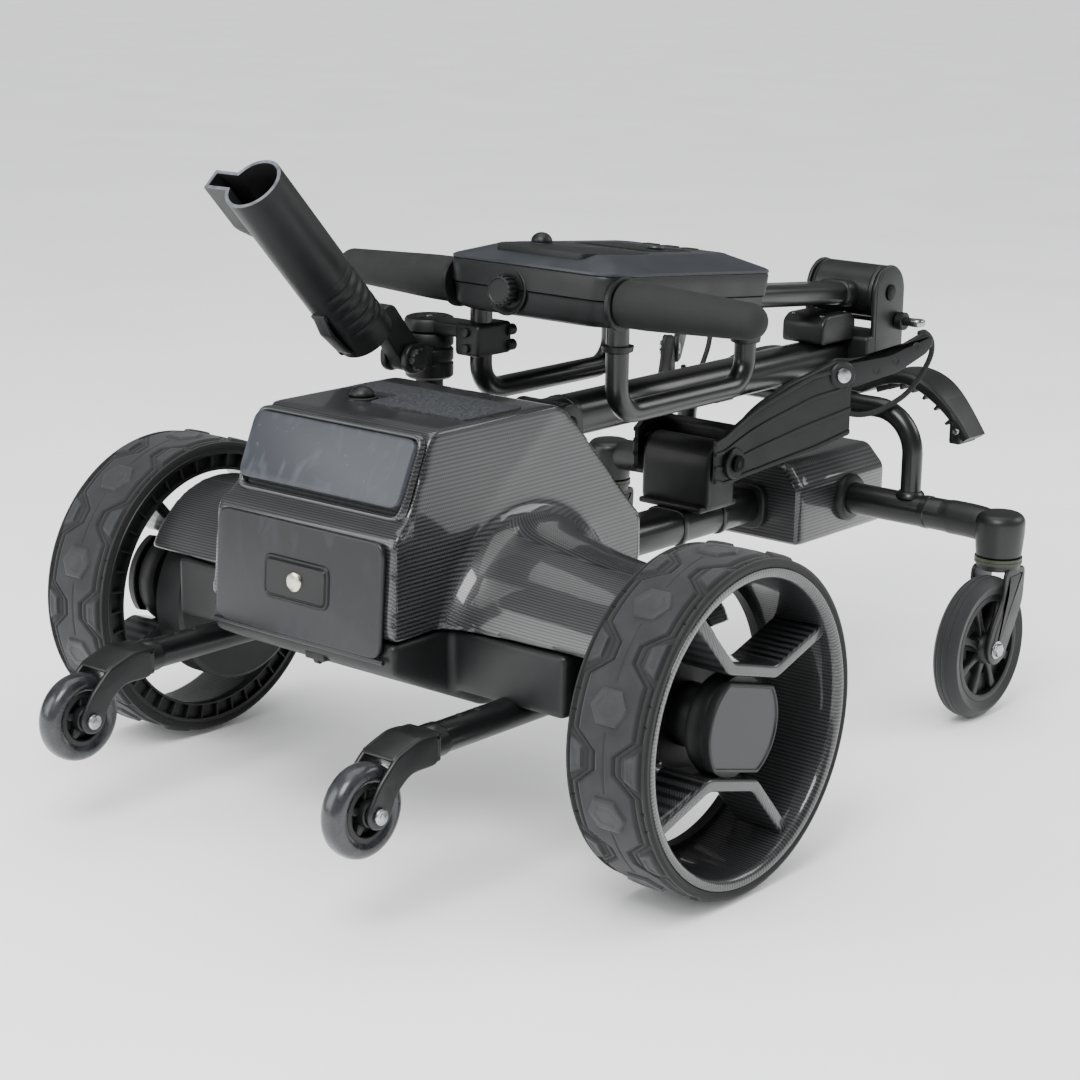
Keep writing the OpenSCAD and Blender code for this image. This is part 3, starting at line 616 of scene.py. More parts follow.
@dataclass(frozen=True)
class CarbonTwill(Finish):
    """Carbon-look film under gloss lacquer: slanted bright strands in rows, on near black.

    Row is the distance between rows and strand the width of one strand. The lacquer gives sharp
    reflections over the softer ones of the strands.
    """

    row: float = 3.6
    strand: float = 2.6

    def make(self) -> bpy.types.Material:
        """The material, from the piece's pattern map."""
        material, tree, shader, place = self.start()
        flat = add(tree, "UVMap", {"uv_map": "Pattern"}).outputs["UV"]
        axes = add(tree, "SeparateXYZ", {}, {0: flat})

        def calc(kind: str, a: Socket | float, b: Socket | float = 0.0, c: Socket | float = 0.0) -> Socket:
            """One step of arithmetic."""
            return add(tree, "Math", {"operation": kind}, {0: a, 1: b, 2: c}).outputs[0]

        along = calc("MULTIPLY", axes.outputs["X"], 1000 / self.strand)
        rows = calc("MULTIPLY", axes.outputs["Y"], 1000 / self.row)
        slant = calc("MULTIPLY_ADD", rows, 1.3, along)
        zigzag = calc("PINGPONG", along, 0.5)
        row_place = calc("FRACT", calc("MULTIPLY_ADD", zigzag, 0.34, rows))
        lit_row = calc("PINGPONG", row_place, 0.5)
        strand = calc("PINGPONG", calc("FRACT", slant), 0.5)
        bright = calc("MULTIPLY", self.spread(tree, lit_row, 0, 1, 0.2, 0.27),
                      self.spread(tree, strand, 0.12, 1, 0.06, 0.2))
        broad = self.clouds(tree, place, self.cloud)
        dull = calc("MULTIPLY", bright, self.spread(tree, broad, 0.75, 1.0))
        self.paint(tree, shader, dull,
                   self.spread(tree, bright, self.roughness[1], self.roughness[0], 0, 1))
        self.emboss(tree, shader, bright, 0.6)
        return material


@dataclass(frozen=True)
class TreadRubber(Finish):
    """Rubber of a drive tyre: dust on the blocks, and painted shade in the grooves, where the colour darkens with
    depth.

    The height is a point's distance from the axle, which is middle, in metres.
    """

    middle: tuple = (-0.2095, 0.0, 0.15)
    floor: float = 0.1442
    crown: float = 0.1492

    def make(self) -> bpy.types.Material:
        """The material: colour by dust and by height, the height giving painted shade in the grooves, with a fine
        grain.
        """
        material, tree, shader, place = self.start()
        out = add(tree, "VectorMath", {"operation": "SUBTRACT"}, {0: place, 1: self.middle}).outputs[0]
        flat = add(tree, "VectorMath", {"operation": "MULTIPLY"}, {0: out, 1: (1, 0, 1)}).outputs[0]
        far = add(tree, "VectorMath", {"operation": "LENGTH"}, {0: flat}).outputs["Value"]
        high = self.spread(tree, far, 0, 1, self.floor, self.crown)
        dust = self.spread(tree, self.clouds(tree, place, self.cloud, 5.0), 0.55, 1.0, 0.35, 0.65)
        # Painted shade: low places in the grooves take the dark colour, and dust lightens the high blocks.
        dust_and_groove_shade = add(tree, "Math", {"operation": "MULTIPLY"}, {0: high, 1: dust}).outputs[0]
        self.paint(tree, shader, dust_and_groove_shade,
                   self.spread(tree, dust_and_groove_shade, self.roughness[1], self.roughness[0], 0, 1))
        fine = self.clouds(tree, place, self.grain, 2.0)
        self.emboss(tree, shader, fine)
        return material


@dataclass(frozen=True)
class BraidedCord(Finish):
    """Elastic cord in a woven sleeve: strands cross each other in two directions round it."""

    strand: float = 1.2

    def make(self) -> bpy.types.Material:
        """The material: two slanted sets of ridges over the cord."""
        material, tree, shader, place = self.start()
        ridges = []
        for lean in (1.0, -1.0):
            turned = add(tree, "Mapping", {}, {"Vector": place, "Rotation": (0.6 * lean, 0.8 * lean, 0.4)})
            wave = add(tree, "TexWave", {"wave_profile": "SIN"},
                       {"Vector": turned.outputs[0], "Scale": 1000 / self.strand / 20 * 3.14})
            ridges.append(wave.outputs["Fac"])
        both = add(tree, "Math", {"operation": "MAXIMUM"}, {0: ridges[0], 1: ridges[1]}).outputs[0]
        tree.links.new(self.tint(tree, both), shader.inputs["Base Color"])
        shader.inputs["Roughness"].default_value = self.roughness[0]
        self.emboss(tree, shader, both, 0.8)
        return material


@dataclass(frozen=True)
class ScuffedPlate(Finish):
    """Satin painted plate that has been handled: cloudy smears and a few dull scuffs and specks."""

    def make(self) -> bpy.types.Material:
        """The material: as a plain finish, with smears in colour and roughness and fine orange peel."""
        material, tree, shader, place = self.start()
        long = add(tree, "Mapping", {}, {"Vector": place, "Scale": (1.0, 1.0, 0.45)}).outputs[0]
        smear = add(tree, "TexNoise", {}, {"Vector": long, "Scale": 1000 / 22, "Detail": 6.0, "Distortion": 1.2})
        specks = self.spread(tree, self.clouds(tree, place, 5.0, 4.0), 0, 1, 0.66, 0.74)
        both = add(tree, "Math", {"operation": "MAXIMUM"},
                   {0: self.spread(tree, smear.outputs["Fac"], 0, 0.8, 0.52, 0.75), 1: specks}).outputs[0]
        self.paint(tree, shader, both,
                   self.spread(tree, both, *self.roughness, 0, 1))
        self.emboss(tree, shader, self.clouds(tree, place, self.grain, 2.0), 0.8)
        return material


class Finishes:
    """Every finish of the trolley, made once."""

    def __init__(self) -> None:
        """Makes the materials."""
        # Hydro-dipped film under lacquer: rows 4 mm apart, sharp reflections.
        self.carbon = CarbonTwill("carbon_film_lacquered", "#050506", "#3b3c3e", (0.3, 0.42), grain_height=0.12,
                                  cloud=60, coat=0.7, coat_roughness=0.06).make()
        # Moulded ABS with a spark-eroded grain: soft dull highlights.
        self.abs = Finish("abs_moulded_black", "#08090a", "#101113", (0.42, 0.55), grain=0.6, grain_height=0.05,
                          cloud=30).make()
        # Satin ABS, a shade lighter: the console's lid and the buttons.
        self.satin = Finish("abs_satin_grey", "#212429", "#2c2f34", (0.36, 0.46), grain=0.5, grain_height=0.035,
                            cloud=45).make()
        # Satin door and sloping plate: smears and scuffs from handling.
        self.plate = ScuffedPlate("painted_plate_scuffed", "#121317", "#23252a", (0.34, 0.52), grain=0.7,
                                  grain_height=0.02).make()
        # The sloping plate: the same paint, lightened to a mid grey as painted reflection of the bright sky over its
        # upward face, with more specks.
        self.panel = ScuffedPlate("plate_paint_grey_painted_sky_light", "#2c2f35", "#43474f", (0.36, 0.5), grain=0.7,
                                  grain_height=0.02).make()
        # Powder coat on steel tube: orange peel about 1 mm wide, satin.
        self.tube = Finish("powder_coat_black", "#060708", "#0d0e0f", (0.28, 0.38), grain=1.1, grain_height=0.045,
                           cloud=70, coat=0.25, coat_roughness=0.2).make()
        # Die castings under the same coat: a little rougher.
        self.casting = Finish("cast_alloy_black_coat", "#08090a", "#111213", (0.4, 0.52), grain=1.4,
                              grain_height=0.09, cloud=24, coat=0.15, coat_roughness=0.3).make()
        # Tyre rubber: matte, with a cloudy tone.
        self.rubber = Finish("tyre_rubber", "#0c0d0e", "#1a1b1d", (0.62, 0.8), grain=1.0, grain_height=0.07,
                             cloud=26, sheen=0.15).make()
        # Drive tyres: the same rubber, its blocks dusty and its grooves painted near black as shade.
        self.tread = TreadRubber("tyre_rubber_tread", "#040405", "#232528", (0.55, 0.85), grain=1.0,
                                 grain_height=0.06, cloud=26, sheen=0.1).make()
        # Cast polyurethane of a skate wheel: smoky and partly clear.
        self.urethane = Finish("polyurethane_smoky", "#1d1e21", "#3c3e43", (0.22, 0.34), grain=2.0,
                               grain_height=0.03, cloud=18, see_through=0.35, coat=0.3, coat_roughness=0.15).make()
        # Foam rubber grips: dark olive grey and very matte.
        self.foam = Finish("grip_foam_rubber", "#101211", "#1b1d1b", (0.72, 0.85), grain=0.9, grain_height=0.12,
                           cloud=14).make()
        # Bright zinc-plated steel: bolts, axles and pins.
        self.steel = Finish("zinc_plated_steel", "#8f9194", "#c4c5c7", (0.2, 0.36), grain=0.8, grain_height=0.02,
                            cloud=6, metallic=1.0).make()
        # Bolts with a black oxide coat: dark metal with a soft shine.
        self.bolt = Finish("steel_black_oxide", "#0e0e0f", "#1f1f21", (0.3, 0.42), grain=0.9, grain_height=0.02,
                           cloud=8, metallic=1.0).make()
        # Chrome of the lock's cylinder, slightly brushed.
        self.chrome = Finish("chrome_lock_face", "#c9c2ae", "#ece6d6", (0.14, 0.28), grain=0.7, grain_height=0.02,
                             cloud=5, metallic=1.0).make()
        # Adhesive grit panel: mineral grit about half a millimetre across, drawn at 1 mm to show.
        self.grit = Finish("grit_panel", "#0c0d10", "#34373c", (0.7, 0.9), grain=1.1, grain_height=0.5,
                           cloud=3).make()
        # Nylon bush under the caster's head: olive.
        self.olive = Finish("nylon_bush_olive", "#2b3024", "#3a4130", (0.4, 0.5), cloud=12).make()
        # Lighter grey rim round the umbrella tube's mouth.
        self.rim_grey = Finish("abs_mouth_rim_grey", "#43464b", "#6a6e74", (0.45, 0.6), cloud=10).make()
        # Near black painted shade for hollows, grilles, sockets, cut walls and the inside of tubes; also the
        # console's screen.
        self.shade_and_screen_black = Finish("black_painted_shade_and_screen", "#050506", "#0a0a0b", (0.6, 0.75), cloud=20).make()
        # Shrink film round the battery cells.
        self.film = Finish("shrink_film_blue", "#14283c", "#1e3a55", (0.3, 0.45), grain=3.0, grain_height=0.1,
                           cloud=15).make()
        # Solder mask on glass-fibre board.
        self.board = Finish("solder_mask_green", "#0c3218", "#12461f", (0.3, 0.4), grain=1.5, grain_height=0.05,
                            cloud=7).make()
        # Woven sleeve of the elastic cords.
        self.cord = BraidedCord("braided_elastic_cord", "#0b0b0c", "#1c1c1e", (0.75, 0.8), grain_height=0.3).make()


# ---- Studio ----


@dataclass(frozen=True)
class Eye:
    """Where the camera stands and which way it looks: millimetres and degrees."""

    x: float = -1625.1
    y: float = -1493.01
    z: float = 822.33
    yaw: float = 39.9
    pitch: float = 14.55
    roll: float = 0.8
    reach: float = 2495.35 / 1080

    def stand_up(self) -> None:
        """Makes the scene's camera."""
        a, b, c = np.radians([self.yaw, self.pitch, self.roll])
        ahead = vec(math.cos(b) * math.cos(a), math.cos(b) * math.sin(a), -math.sin(b))
        right = vec(math.sin(a), -math.cos(a), 0)
        up = np.cross(right, ahead)
        right, up = math.cos(c) * right + math.sin(c) * up, -math.sin(c) * right + math.cos(c) * up
        lens = bpy.data.cameras.new("eye")
        lens.sensor_width, lens.lens = 36.0, 36.0 * self.reach
        lens.clip_start, lens.clip_end = 0.05, 50
        eye = bpy.data.objects.new("eye", lens)
        turn = Matrix(np.stack([right, up, -ahead], 1).tolist()).to_4x4()
        eye.matrix_world = Matrix.Translation(((self.x - AXLE_TO_CENTRE) / 1000, self.y / 1000, self.z / 1000)) @ turn
        bpy.context.scene.collection.objects.link(eye)
        bpy.context.scene.camera = eye


@dataclass(frozen=True)
class Lamp:
    """One soft box: where it hangs, what it points at, its size in metres and its power in watts."""

    name: str
    place: tuple
    aim: tuple
    size: tuple
    power: float

    def hang(self) -> None:
        """Makes the light."""
        data = bpy.data.lights.new(self.name, "AREA")
        data.shape, data.size, data.size_y, data.energy = "RECTANGLE", *self.size, self.power
        lamp = bpy.data.objects.new(self.name, data)
        lamp.location = self.place
        lamp.rotation_mode = "QUATERNION"
        lamp.rotation_quaternion = (Vector(self.aim) - Vector(self.place)).to_track_quat("-Z", "Y")
        bpy.context.scene.collection.objects.link(lamp)


class Studio:
    """The pale floor, the soft boxes, the sky and the camera."""

    def build(self) -> None:
        """Makes all of them."""
        Eye().stand_up()
        for lamp in (
            Lamp("key", (-1.6, -0.6, 2.2), (0, 0, 0.2), (1.2, 1.2), 60),
            Lamp("window", (-2.4, 1.4, 1.3), (0, 0, 0.25), (1.4, 1.8), 34),
            Lamp("front", (2.2, -1.6, 1.8), (0, 0, 0.2), (1.5, 1.2), 26),
            Lamp("top", (0.2, 0.3, 2.8), (0, 0, 0.2), (2.4, 2.0), 30),
        ):
            lamp.hang()
        world = bpy.data.worlds.new("studio")
        world.use_nodes = True
        tree = world.node_tree
        tree.nodes.clear()
        mirror = add(tree, "LightPath").outputs["Is Glossy Ray"]
        strength = add(tree, "MapRange", {}, {"Value": mirror, "To Min": 1.5, "To Max": 0.22}).outputs["Result"]
        sky = add(tree, "Background", {}, {"Color": linear("#f6f7f8"), "Strength": strength})
        add(tree, "OutputWorld", {}, {"Surface": sky.outputs[0]})
        bpy.context.scene.world = world
        self.lay_floor()

    def lay_floor(self) -> None:
        """A large pale sheet at the height that the wheels stand on."""
        size = 90.0
        mesh = bpy.data.meshes.new("floor")
        g = np.linspace(-size, size, 5)
        xx, yy = np.meshgrid(g, g, indexing="ij")
        shape = Shape().grid(np.stack([xx, yy, np.full_like(xx, -0.0006)], -1))
        mesh.from_pydata(np.concatenate(shape.points).tolist(), [], shape.faces)
        tidy(mesh)
        floor = bpy.data.objects.new("floor", mesh)
        bpy.context.scene.collection.objects.link(floor)
        sheet = Finish("floor_paper", "#f7f7f7", "#fbfbfb", (0.7, 0.8), grain=2.0, grain_height=0.01, cloud=400)
        mesh.materials.append(sheet.make())


# ---- Drive wheels ----


@dataclass
class DriveWheel:
    """A rear wheel: treaded tyre, carbon rim with two spoke bands, hub and its flattened cap."""

    finishes: Finishes
    radius: float = 150.0
    seat: float = 138.0
    half_width: float = 41.0
    middle_y: float = 326.0
    axle_z: float = 150.0
    blocks: int = 10
    turn: float = 15.0

    def build(self) -> None:
        """Makes both wheels."""
        for name, side in SIDES.items():
            body = "drive_wheel_" + name
            wrap = {"wrap": Wrap.ROUND, "centre": (0, 0, self.axle_z), "radius": self.seat}
            f = self.finishes
            build("tread_" + name, self.tyre().on(side), [f.tread], body, "tyre_" + name, crease=50,
                  slot="rubber_tread", **wrap)
            build("carbon_rim_" + name, self.rim().on(side), [f.carbon, f.abs, f.steel], body, "rim_" + name,
                  slot="carbon_twill", **wrap)
            build("cap_" + name, self.cap().on(side), [f.plate, f.abs], body, "hub_cap_" + name)

    def centre(self) -> Array:
        """The left wheel's middle."""
        return vec(0, self.middle_y, self.axle_z)

    def tread_height(self, angle: Array, y: Array) -> Array:
        """How far the tread stands above its floor.

        Round the wheel the pattern repeats once a block. A web runs round the middle: it is narrow
        half way between two blocks and widens, at a steady slope, to frame each of them. On it stands a
        long hexagon with its points towards the sides. In each narrow place a trapezoid stands at either
        shoulder. Two grooves follow the web's edge, one goes along its middle, and a plain band runs
        round each side. Each step is a smooth ramp over about a millimetre.

        Args:
            angle: angle round the wheel.
            y: place across the tread, in millimetres from its middle.
        Returns:
            The height in millimetres.
        """
        pitch = 2 * math.pi * self.radius / self.blocks
        cell = angle / (2 * math.pi) * self.blocks
        s = np.abs(cell - np.round(cell)) * pitch
        h = np.abs(cell - np.floor(cell) - 0.5) * pitch
        w = np.abs(y)
        hexagon = np.maximum(s - 15.5, (w - 19.5 + s * 0.58) * 0.87)
        web = (w - 8.5 - 18.5 * np.clip((h - 8) / 16, 0, 1)) * 0.75
        block = np.maximum.reduce([(h - 9.5 - (w - 21) * 0.55) * 0.88, 21 - w, w - 35.0])
        side = smooth((w - 36.8) / 1.0)
        height = 1.3 * smooth(-web / 0.9) + 2.6 * smooth(-hexagon / 1.5) - 0.6 * smooth(-(hexagon + 6.5) / 1.0)
        height += 2.9 * smooth(-block / 1.4) - 0.6 * smooth(-(block + 4.0) / 1.0)
        height -= 1.5 * np.exp(-(((web - 1.5) / 0.9) ** 2)) + 1.1 * np.exp(-(((web - 6.0) / 0.8) ** 2)) * (block > 2)
        height -= 1.1 * np.exp(-((y / 0.8) ** 2)) * smooth((28 - h) / 2)
        nicks = np.exp(-(((s - 9) / 0.8) ** 2)) * (w > 34) * (w < 38.5)
        return height * (1 - side) + 1.5 * side - 1.6 * nicks

    def tyre(self) -> Shape:
        """The tyre: its outer face is base radius plus tread height, its walls and seat are smooth."""
        w = self.half_width
        across, around = 88, 850
        y = np.linspace(-w + 1.2, w - 1.2, across)
        angle = np.linspace(0, 2 * math.pi, around, endpoint=False)
        yy, aa = np.meshgrid(y, angle, indexing="ij")
        base = self.radius - 4.0 - 2.2 * smooth((np.abs(yy) - 27) / 14)
        outer_r = base + self.tread_height(aa, yy)
        edge = np.array([[self.radius - 6.3, w - 0.3], [self.radius - 7.4, w], [self.seat + 3.5, w],
                         [self.seat + 2.2, w - 0.6], [self.seat + 0.1, w - 0.8], [self.seat + 0.1, 0]])
        edge = np.r_[edge, (edge * [1, -1])[::-1][1:]]
        walls_r = np.repeat(edge[:, :1], around, 1)
        walls_y = np.repeat(edge[:, 1:], around, 1)
        r, along = np.r_[outer_r, walls_r], np.r_[yy, walls_y]
        a = np.repeat(angle[None], len(r), 0)
        points = self.centre() + np.stack([r * np.sin(a), along, r * np.cos(a)], -1)
        return Shape().grid(points, around=True, along=True)

    def turned(self) -> Stand:
        """The wheel's frame as it stands at rest: plan in the wheel's plane, height along the axle."""
        return Stand(self.centre(), PLATE @ Stand.pitched(0, 0, 0, self.turn).axes)

    def band(self, sign: float) -> Shape:
        """One spoke band: a strip bent like a dish, from rim to hub flat and back to the rim."""
        outer = [(-98, 84), (-36, 43.5), (36, 43.5), (98, 84)]
        inner = [(91, 93), (32, 54.5), (-32, 54.5), (-91, 93)]
        plan = np.array(outer + inner, float) * [1, sign]
        plan = rounded(plan.tolist(), 5, 5)
        return Shape().slab(plan, -16, 33, 2.5, self.turned())

    def rim(self) -> Shape:
        """The rim: rolled lip, deep barrel, two bands, hub with bolts and a ribbed back plate."""
        w, c = self.half_width, self.centre()
        shape = Shape()
        lip = [(self.seat, -w + 10), (self.seat, w - 1.5), (self.seat - 0.8, w - 0.2), (self.seat - 2.5, w),
               (131, w - 0.6), (128.6, w - 2.6), (127.2, w - 7), (126, 10), (124.5, -w + 9.8), (135, -w + 9.8)]
        shape.turn(lip, c, 1, 200)
        back = [(self.seat, -w + 9.8), (118.6, -w + 9.8), (118, -w + 1), (118.6, -w), (120.4, -w), (120.6, -w + 6),
                (133.8, -w + 6), (134, -w), (self.seat - 0.6, -w), (self.seat, -w + 0.8)]
        shape.turn(back, c, 1, 160, finish=1)
        for sign in (1, -1):
            shape.join(self.band(sign))
        hub = [(12, -34), (28, -34), (28, 0), (43, 3), (46, 8), (46, 21), (44, 24), (12, 24)]
        shape.turn(hub, c, 1, 96, finish=1)
        shape.turn([(27, -28.5), (58, -28.5), (60, -30), (60, -33), (27, -34)], c, 1, 96, finish=1)
        for i in range(8):
            a = math.radians(45 * i)
            at = c + vec(53 * math.sin(a), -28.5, 53 * math.cos(a))
            shape.rod(at, at + vec(0, 2.4, 0), 4.2, 0.6, 6, finish=2)
        for i in range(40):
            shape.block((119.8, -0.9, -w + 0.6), (134.6, 0.9, -w + 7), 0.4, spoke(c, 9 * i), finish=1)
        return shape

    def cap(self) -> Shape:
        """The hub cap: a disc with flats above and below, a raised rim and a face a little below it."""
        angle = np.radians(np.linspace(0, 360, 144, endpoint=False))
        plan = np.c_[49.8 * np.cos(angle), np.clip(49.8 * np.sin(angle), -37.8, 37.8)]
        heights = [(1.0, 24.1), (0, 25), (0, 31.6), (0.5, 32.9), (1.5, 33.5), (2.8, 33.5), (3.2, 33.0), (3.5, 32.4),
                   (3.9, 32.4)]
        rings = self.turned().at(levels(plan, heights))
        shape = Shape().grid(rings[:7], around=True, finish=1)
        shape.grid(rings[6:], around=True)
        shape.add(rings[-1], [list(range(len(plan)))])
        return shape.add(rings[0], [list(range(len(plan)))], 1)


# ---- Casters ----


@dataclass
class Caster:
    """A front caster: head casting, olive bush, fork, rubber wheel with a ribbed hub."""

    finishes: Finishes
    axis_x: float = 592.0
    axis_y: float = 257.0
    trail: float = 30.0
    radius: float = 74.5

    def build(self) -> None:
        """Makes both casters."""
        f = self.finishes
        for name, side in SIDES.items():
            build("caster_fork_arms_" + name, self.fork().on(side), [f.casting, f.olive, f.steel], "caster_" + name,
                  "caster_fork_" + name, slot="painted_tube")
            build("caster_rubber_" + name, self.tyre().on(side), [f.rubber], "caster_wheel_" + name,
                  "caster_tyre_" + name, slot="rubber_tread")
            build("caster_spokes_" + name, self.hub().on(side), [f.abs, f.steel], "caster_wheel_" + name,
                  "caster_hub_" + name)

    def wheel_centre(self) -> Array:
        """The left wheel's middle."""
        return vec(self.axis_x - self.trail, self.axis_y, self.radius)

    def fork(self) -> Shape:
        """Two pressed legs with a raised spine, a crown, the olive bush and the axle bolt."""
        leg = [(574, 156), (613, 156), (611, 118), (596, 92), (578, 62), (562, 57), (548, 64), (545, 80),
               (556, 104), (572, 126)]
        plan = rounded(leg, 9, 5)
        shape, c, x, y = Shape(), self.wheel_centre(), self.axis_x, self.axis_y
        for low, high in ((y - 21, y - 17), (y + 17, y + 21)):
            shape.slab(plan, low, high, 1.2, UPRIGHT)
            out = (low - 0.8, low + 1) if low < y else (high - 1, high + 0.8)
            shape.slab(inset(plan, 7.5), *out, 0.7, UPRIGHT)
        shape.turn([(0, 152), (19, 152), (22.5, 153.5), (23, 158.9), (0, 158.9)], vec(x, y, 0), 2, 72)
        shape.turn([(0, 159), (24.5, 159), (24.5, 161.6), (23.9, 161.9), (23.9, 162.5), (24.5, 162.8), (24.5, 165.4),
                    (0, 165.4)], vec(x, y, 0), 2, 72, finish=1)
        for a, b, r, edge, sides in ((-26, -21, 7, 0.7, 6), (21, 26, 7, 0.7, 6), (-22, 22, 4, 0.5, 24),
                                     (-22.2, -21, 9.5, 0.4, 40), (21, 22.2, 9.5, 0.4, 40)):
            shape.rod(c + vec(0, a, 0), c + vec(0, b, 0), r, edge, sides, finish=2)
        return shape

    def tyre(self) -> Shape:
        """A tyre with round shoulders and three shallow grooves: a turned profile."""
        w, r = 14.0, self.radius
        t = np.linspace(-1, 1, 61)
        crown = r - 0.05 - 8.5 * np.abs(t) ** 3.2
        groove = sum(0.9 * np.exp(-(((t - g) / 0.045) ** 2)) for g in (-0.42, 0, 0.42))
        outer = np.c_[crown - groove, t * w]
        wall = np.array([[63, w - 0.6], [61, w - 2.0], [57, w - 2.4], [56.1, w - 3.0]])
        profile = np.r_[outer, wall, (wall * [1, -1])[::-1]]
        return Shape().turn(profile, self.wheel_centre(), 1, 120)

    def hub(self) -> Shape:
        """Rim ring, eight ribs, boss and bearing."""
        c = self.wheel_centre()
        shape = Shape()
        shape.turn([(49.5, -11), (52, -12), (56, -11.5), (56, 11.5), (52, 12), (49.5, 11)], c, 1, 96)
        shape.turn([(30, -3), (52, -3), (52, 3), (30, 3)], c, 1, 72)
        shape.turn([(5, -15.5), (12.5, -15.5), (14.5, -14), (17, -9), (17, 9), (14.5, 14), (12.5, 15.5),
                    (5, 15.5)], c, 1, 64)
        shape.turn([(4.2, -16.2), (9, -16.2), (9, 16.2), (4.2, 16.2)], c, 1, 48, finish=1)
        rib = rounded([(12, -5.5), (30, -3), (51, -5.5), (51, 5.5), (30, 3), (12, 5.5)], 6, 5)
        for i in range(8):
            shape.slab(rib, -9, 9, 1.5, spoke(c, 45 * i + 22))
        return shape


# ---- Anti-tip arms and wheels ----


@dataclass
class AntiTip:
    """The two rear arms: bent fork castings on tubes, with skate wheels."""

    finishes: Finishes
    y: float = 175.0
    axle_x: float = -268.0
    axle_z: float = 106.0
    tube_z: float = 144.0

    def build(self) -> None:
        """Makes both arms and wheels."""
        f = self.finishes
        arms, tubes = Shape(), Shape()
        for side in SIDES.values():
            arms.join(self.fork().on(side))
            tubes.join(self.tube().on(side))
        build("anti_tip_arms", arms, [f.casting, f.steel], "chassis", "anti_tip_forks", slot="painted_tube")
        build("anti_tip_bars", tubes, [f.tube, f.shade_and_screen_black], "chassis", "anti_tip_tubes", slot="painted_tube")
        for name, side in SIDES.items():
            build("skate_tyre_" + name, self.tyre().on(side), [f.urethane], "anti_tip_wheel_" + name,
                  "anti_tip_tyre_" + name, slot="skate_tyre")
            build("skate_hub_" + name, self.hub().on(side), [f.abs, f.steel], "anti_tip_wheel_" + name,
                  "anti_tip_hub_" + name)

    def tube(self) -> Shape:
        """The straight bar, with two pressed dimples on top and a sleeve where it meets the casting."""
        shape = Shape()
        shape.tube(np.c_[np.linspace(-192, -2, 12), np.full(12, self.y), np.full(12, self.tube_z)], 13.9, sides=48)
        shape.turn([(14.6, -193), (15.2, -191.5), (15.2, -180), (14.6, -178.5), (13, -178.5), (13, -193)],
                   vec(0, self.y, self.tube_z), 0, 48)
        # The pressed dimples take near black painted shade.
        for x in (-150, -128):
            shape.turn([(0, 0.4), (3.0, 0.4), (4.2, -0.8), (0, -0.8)], vec(x, self.y, self.tube_z + 13.9), 2, 24,
                       closed=False, finish=1)
        return shape

    def fork(self) -> Shape:
        """Two legs bent down from the tube's end, joined by a round knuckle: slabs and a tapered bar."""
        leg = [(-196, 131), (-196, 157), (-218, 158.6), (-246, 149.5), (-267, 130), (-280.5, 108), (-276, 95.5),
               (-264, 92.5), (-255, 98), (-247, 118), (-230, 131)]
        plan = rounded(leg, 8, 5)
        shape = Shape()
        for low, high in ((self.y - 20, self.y - 14.6), (self.y + 14.6, self.y + 20)):
            shape.slab(plan, low, high, 2.4, UPRIGHT)
        path = curve([(-180, self.y, 144), (-197, self.y, 144.2), (-214, self.y, 143.5), (-228, self.y, 140)], 6)
        r = np.linspace(14, 14.4, len(path))
        shape.tube(path, r, sides=40, squash=(1.0, 1.3))
        knuckle = rounded([(-192, 132), (-192, 157.5), (-218, 158.8), (-246, 149.6), (-250, 146.2), (-245, 143.4),
                           (-237, 137.5), (-229, 132)], 3, 5)
        shape.slab(knuckle, self.y - 19.6, self.y + 19.6, 4.5, UPRIGHT)
        c = vec(self.axle_x, self.y, self.axle_z)
        for a, b in ((-24, -20), (20, 24)):
            shape.rod(c + vec(0, a, 0), c + vec(0, b, 0), 7, 1.2, 32, finish=1)
            socket = (a - 0.6, a + 0.6) if a < 0 else (b - 0.6, b + 0.6)
            shape.rod(c + vec(0, socket[0], 0), c + vec(0, socket[1], 0), 3.4, 0.3, 6, finish=1)
        shape.rod(c + vec(0, -20, 0), c + vec(0, 20, 0), 4, 0.4, 24, finish=1)
        return shape

    def tyre(self) -> Shape:
        """A skate tyre: its outline is an ellipse across the wheel, cut by flat walls."""
        t = np.linspace(-1, 1, 33)
        outer = np.c_[31 + 8.95 * np.sqrt(np.maximum(1 - (np.abs(t) ** 2.4), 0)), 11.9 * t]
        wall = np.array([[29, 11.4], [26, 10.4], [25, 9.2]])
        profile = np.r_[outer, wall, (wall * [1, -1])[::-1]]
        return Shape().turn(profile, vec(self.axle_x, self.y, self.axle_z), 1, 96)

    def hub(self) -> Shape:
        """A spoked hub with a steel bearing."""
        c = vec(self.axle_x, self.y, self.axle_z)
        shape = Shape()
        shape.turn([(20, -9), (21, -9.6), (25, -9.2), (25, 9.2), (21, 9.6), (20, 9)], c, 1, 72)
        shape.turn([(6, -13.4), (10.4, -13.4), (11.4, -12.4), (12, -8), (12, 8), (11.4, 12.4), (10.4, 13.4),
                    (6, 13.4)], c, 1, 48)
        shape.turn([(4.1, -13.5), (8.6, -13.5), (8.6, 13.5), (4.1, 13.5)], c, 1, 40, finish=1)
        shape.turn([(10, -2), (22, -2), (22, 2), (10, 2)], c, 1, 64)
        for i in range(5):
            shape.slab(rounded([(11, -4), (21, -3), (21, 3), (11, 4)], 3, 4), -8, 8, 1.2, spoke(c, 72 * i))
        return shape


# ---- Housing ----


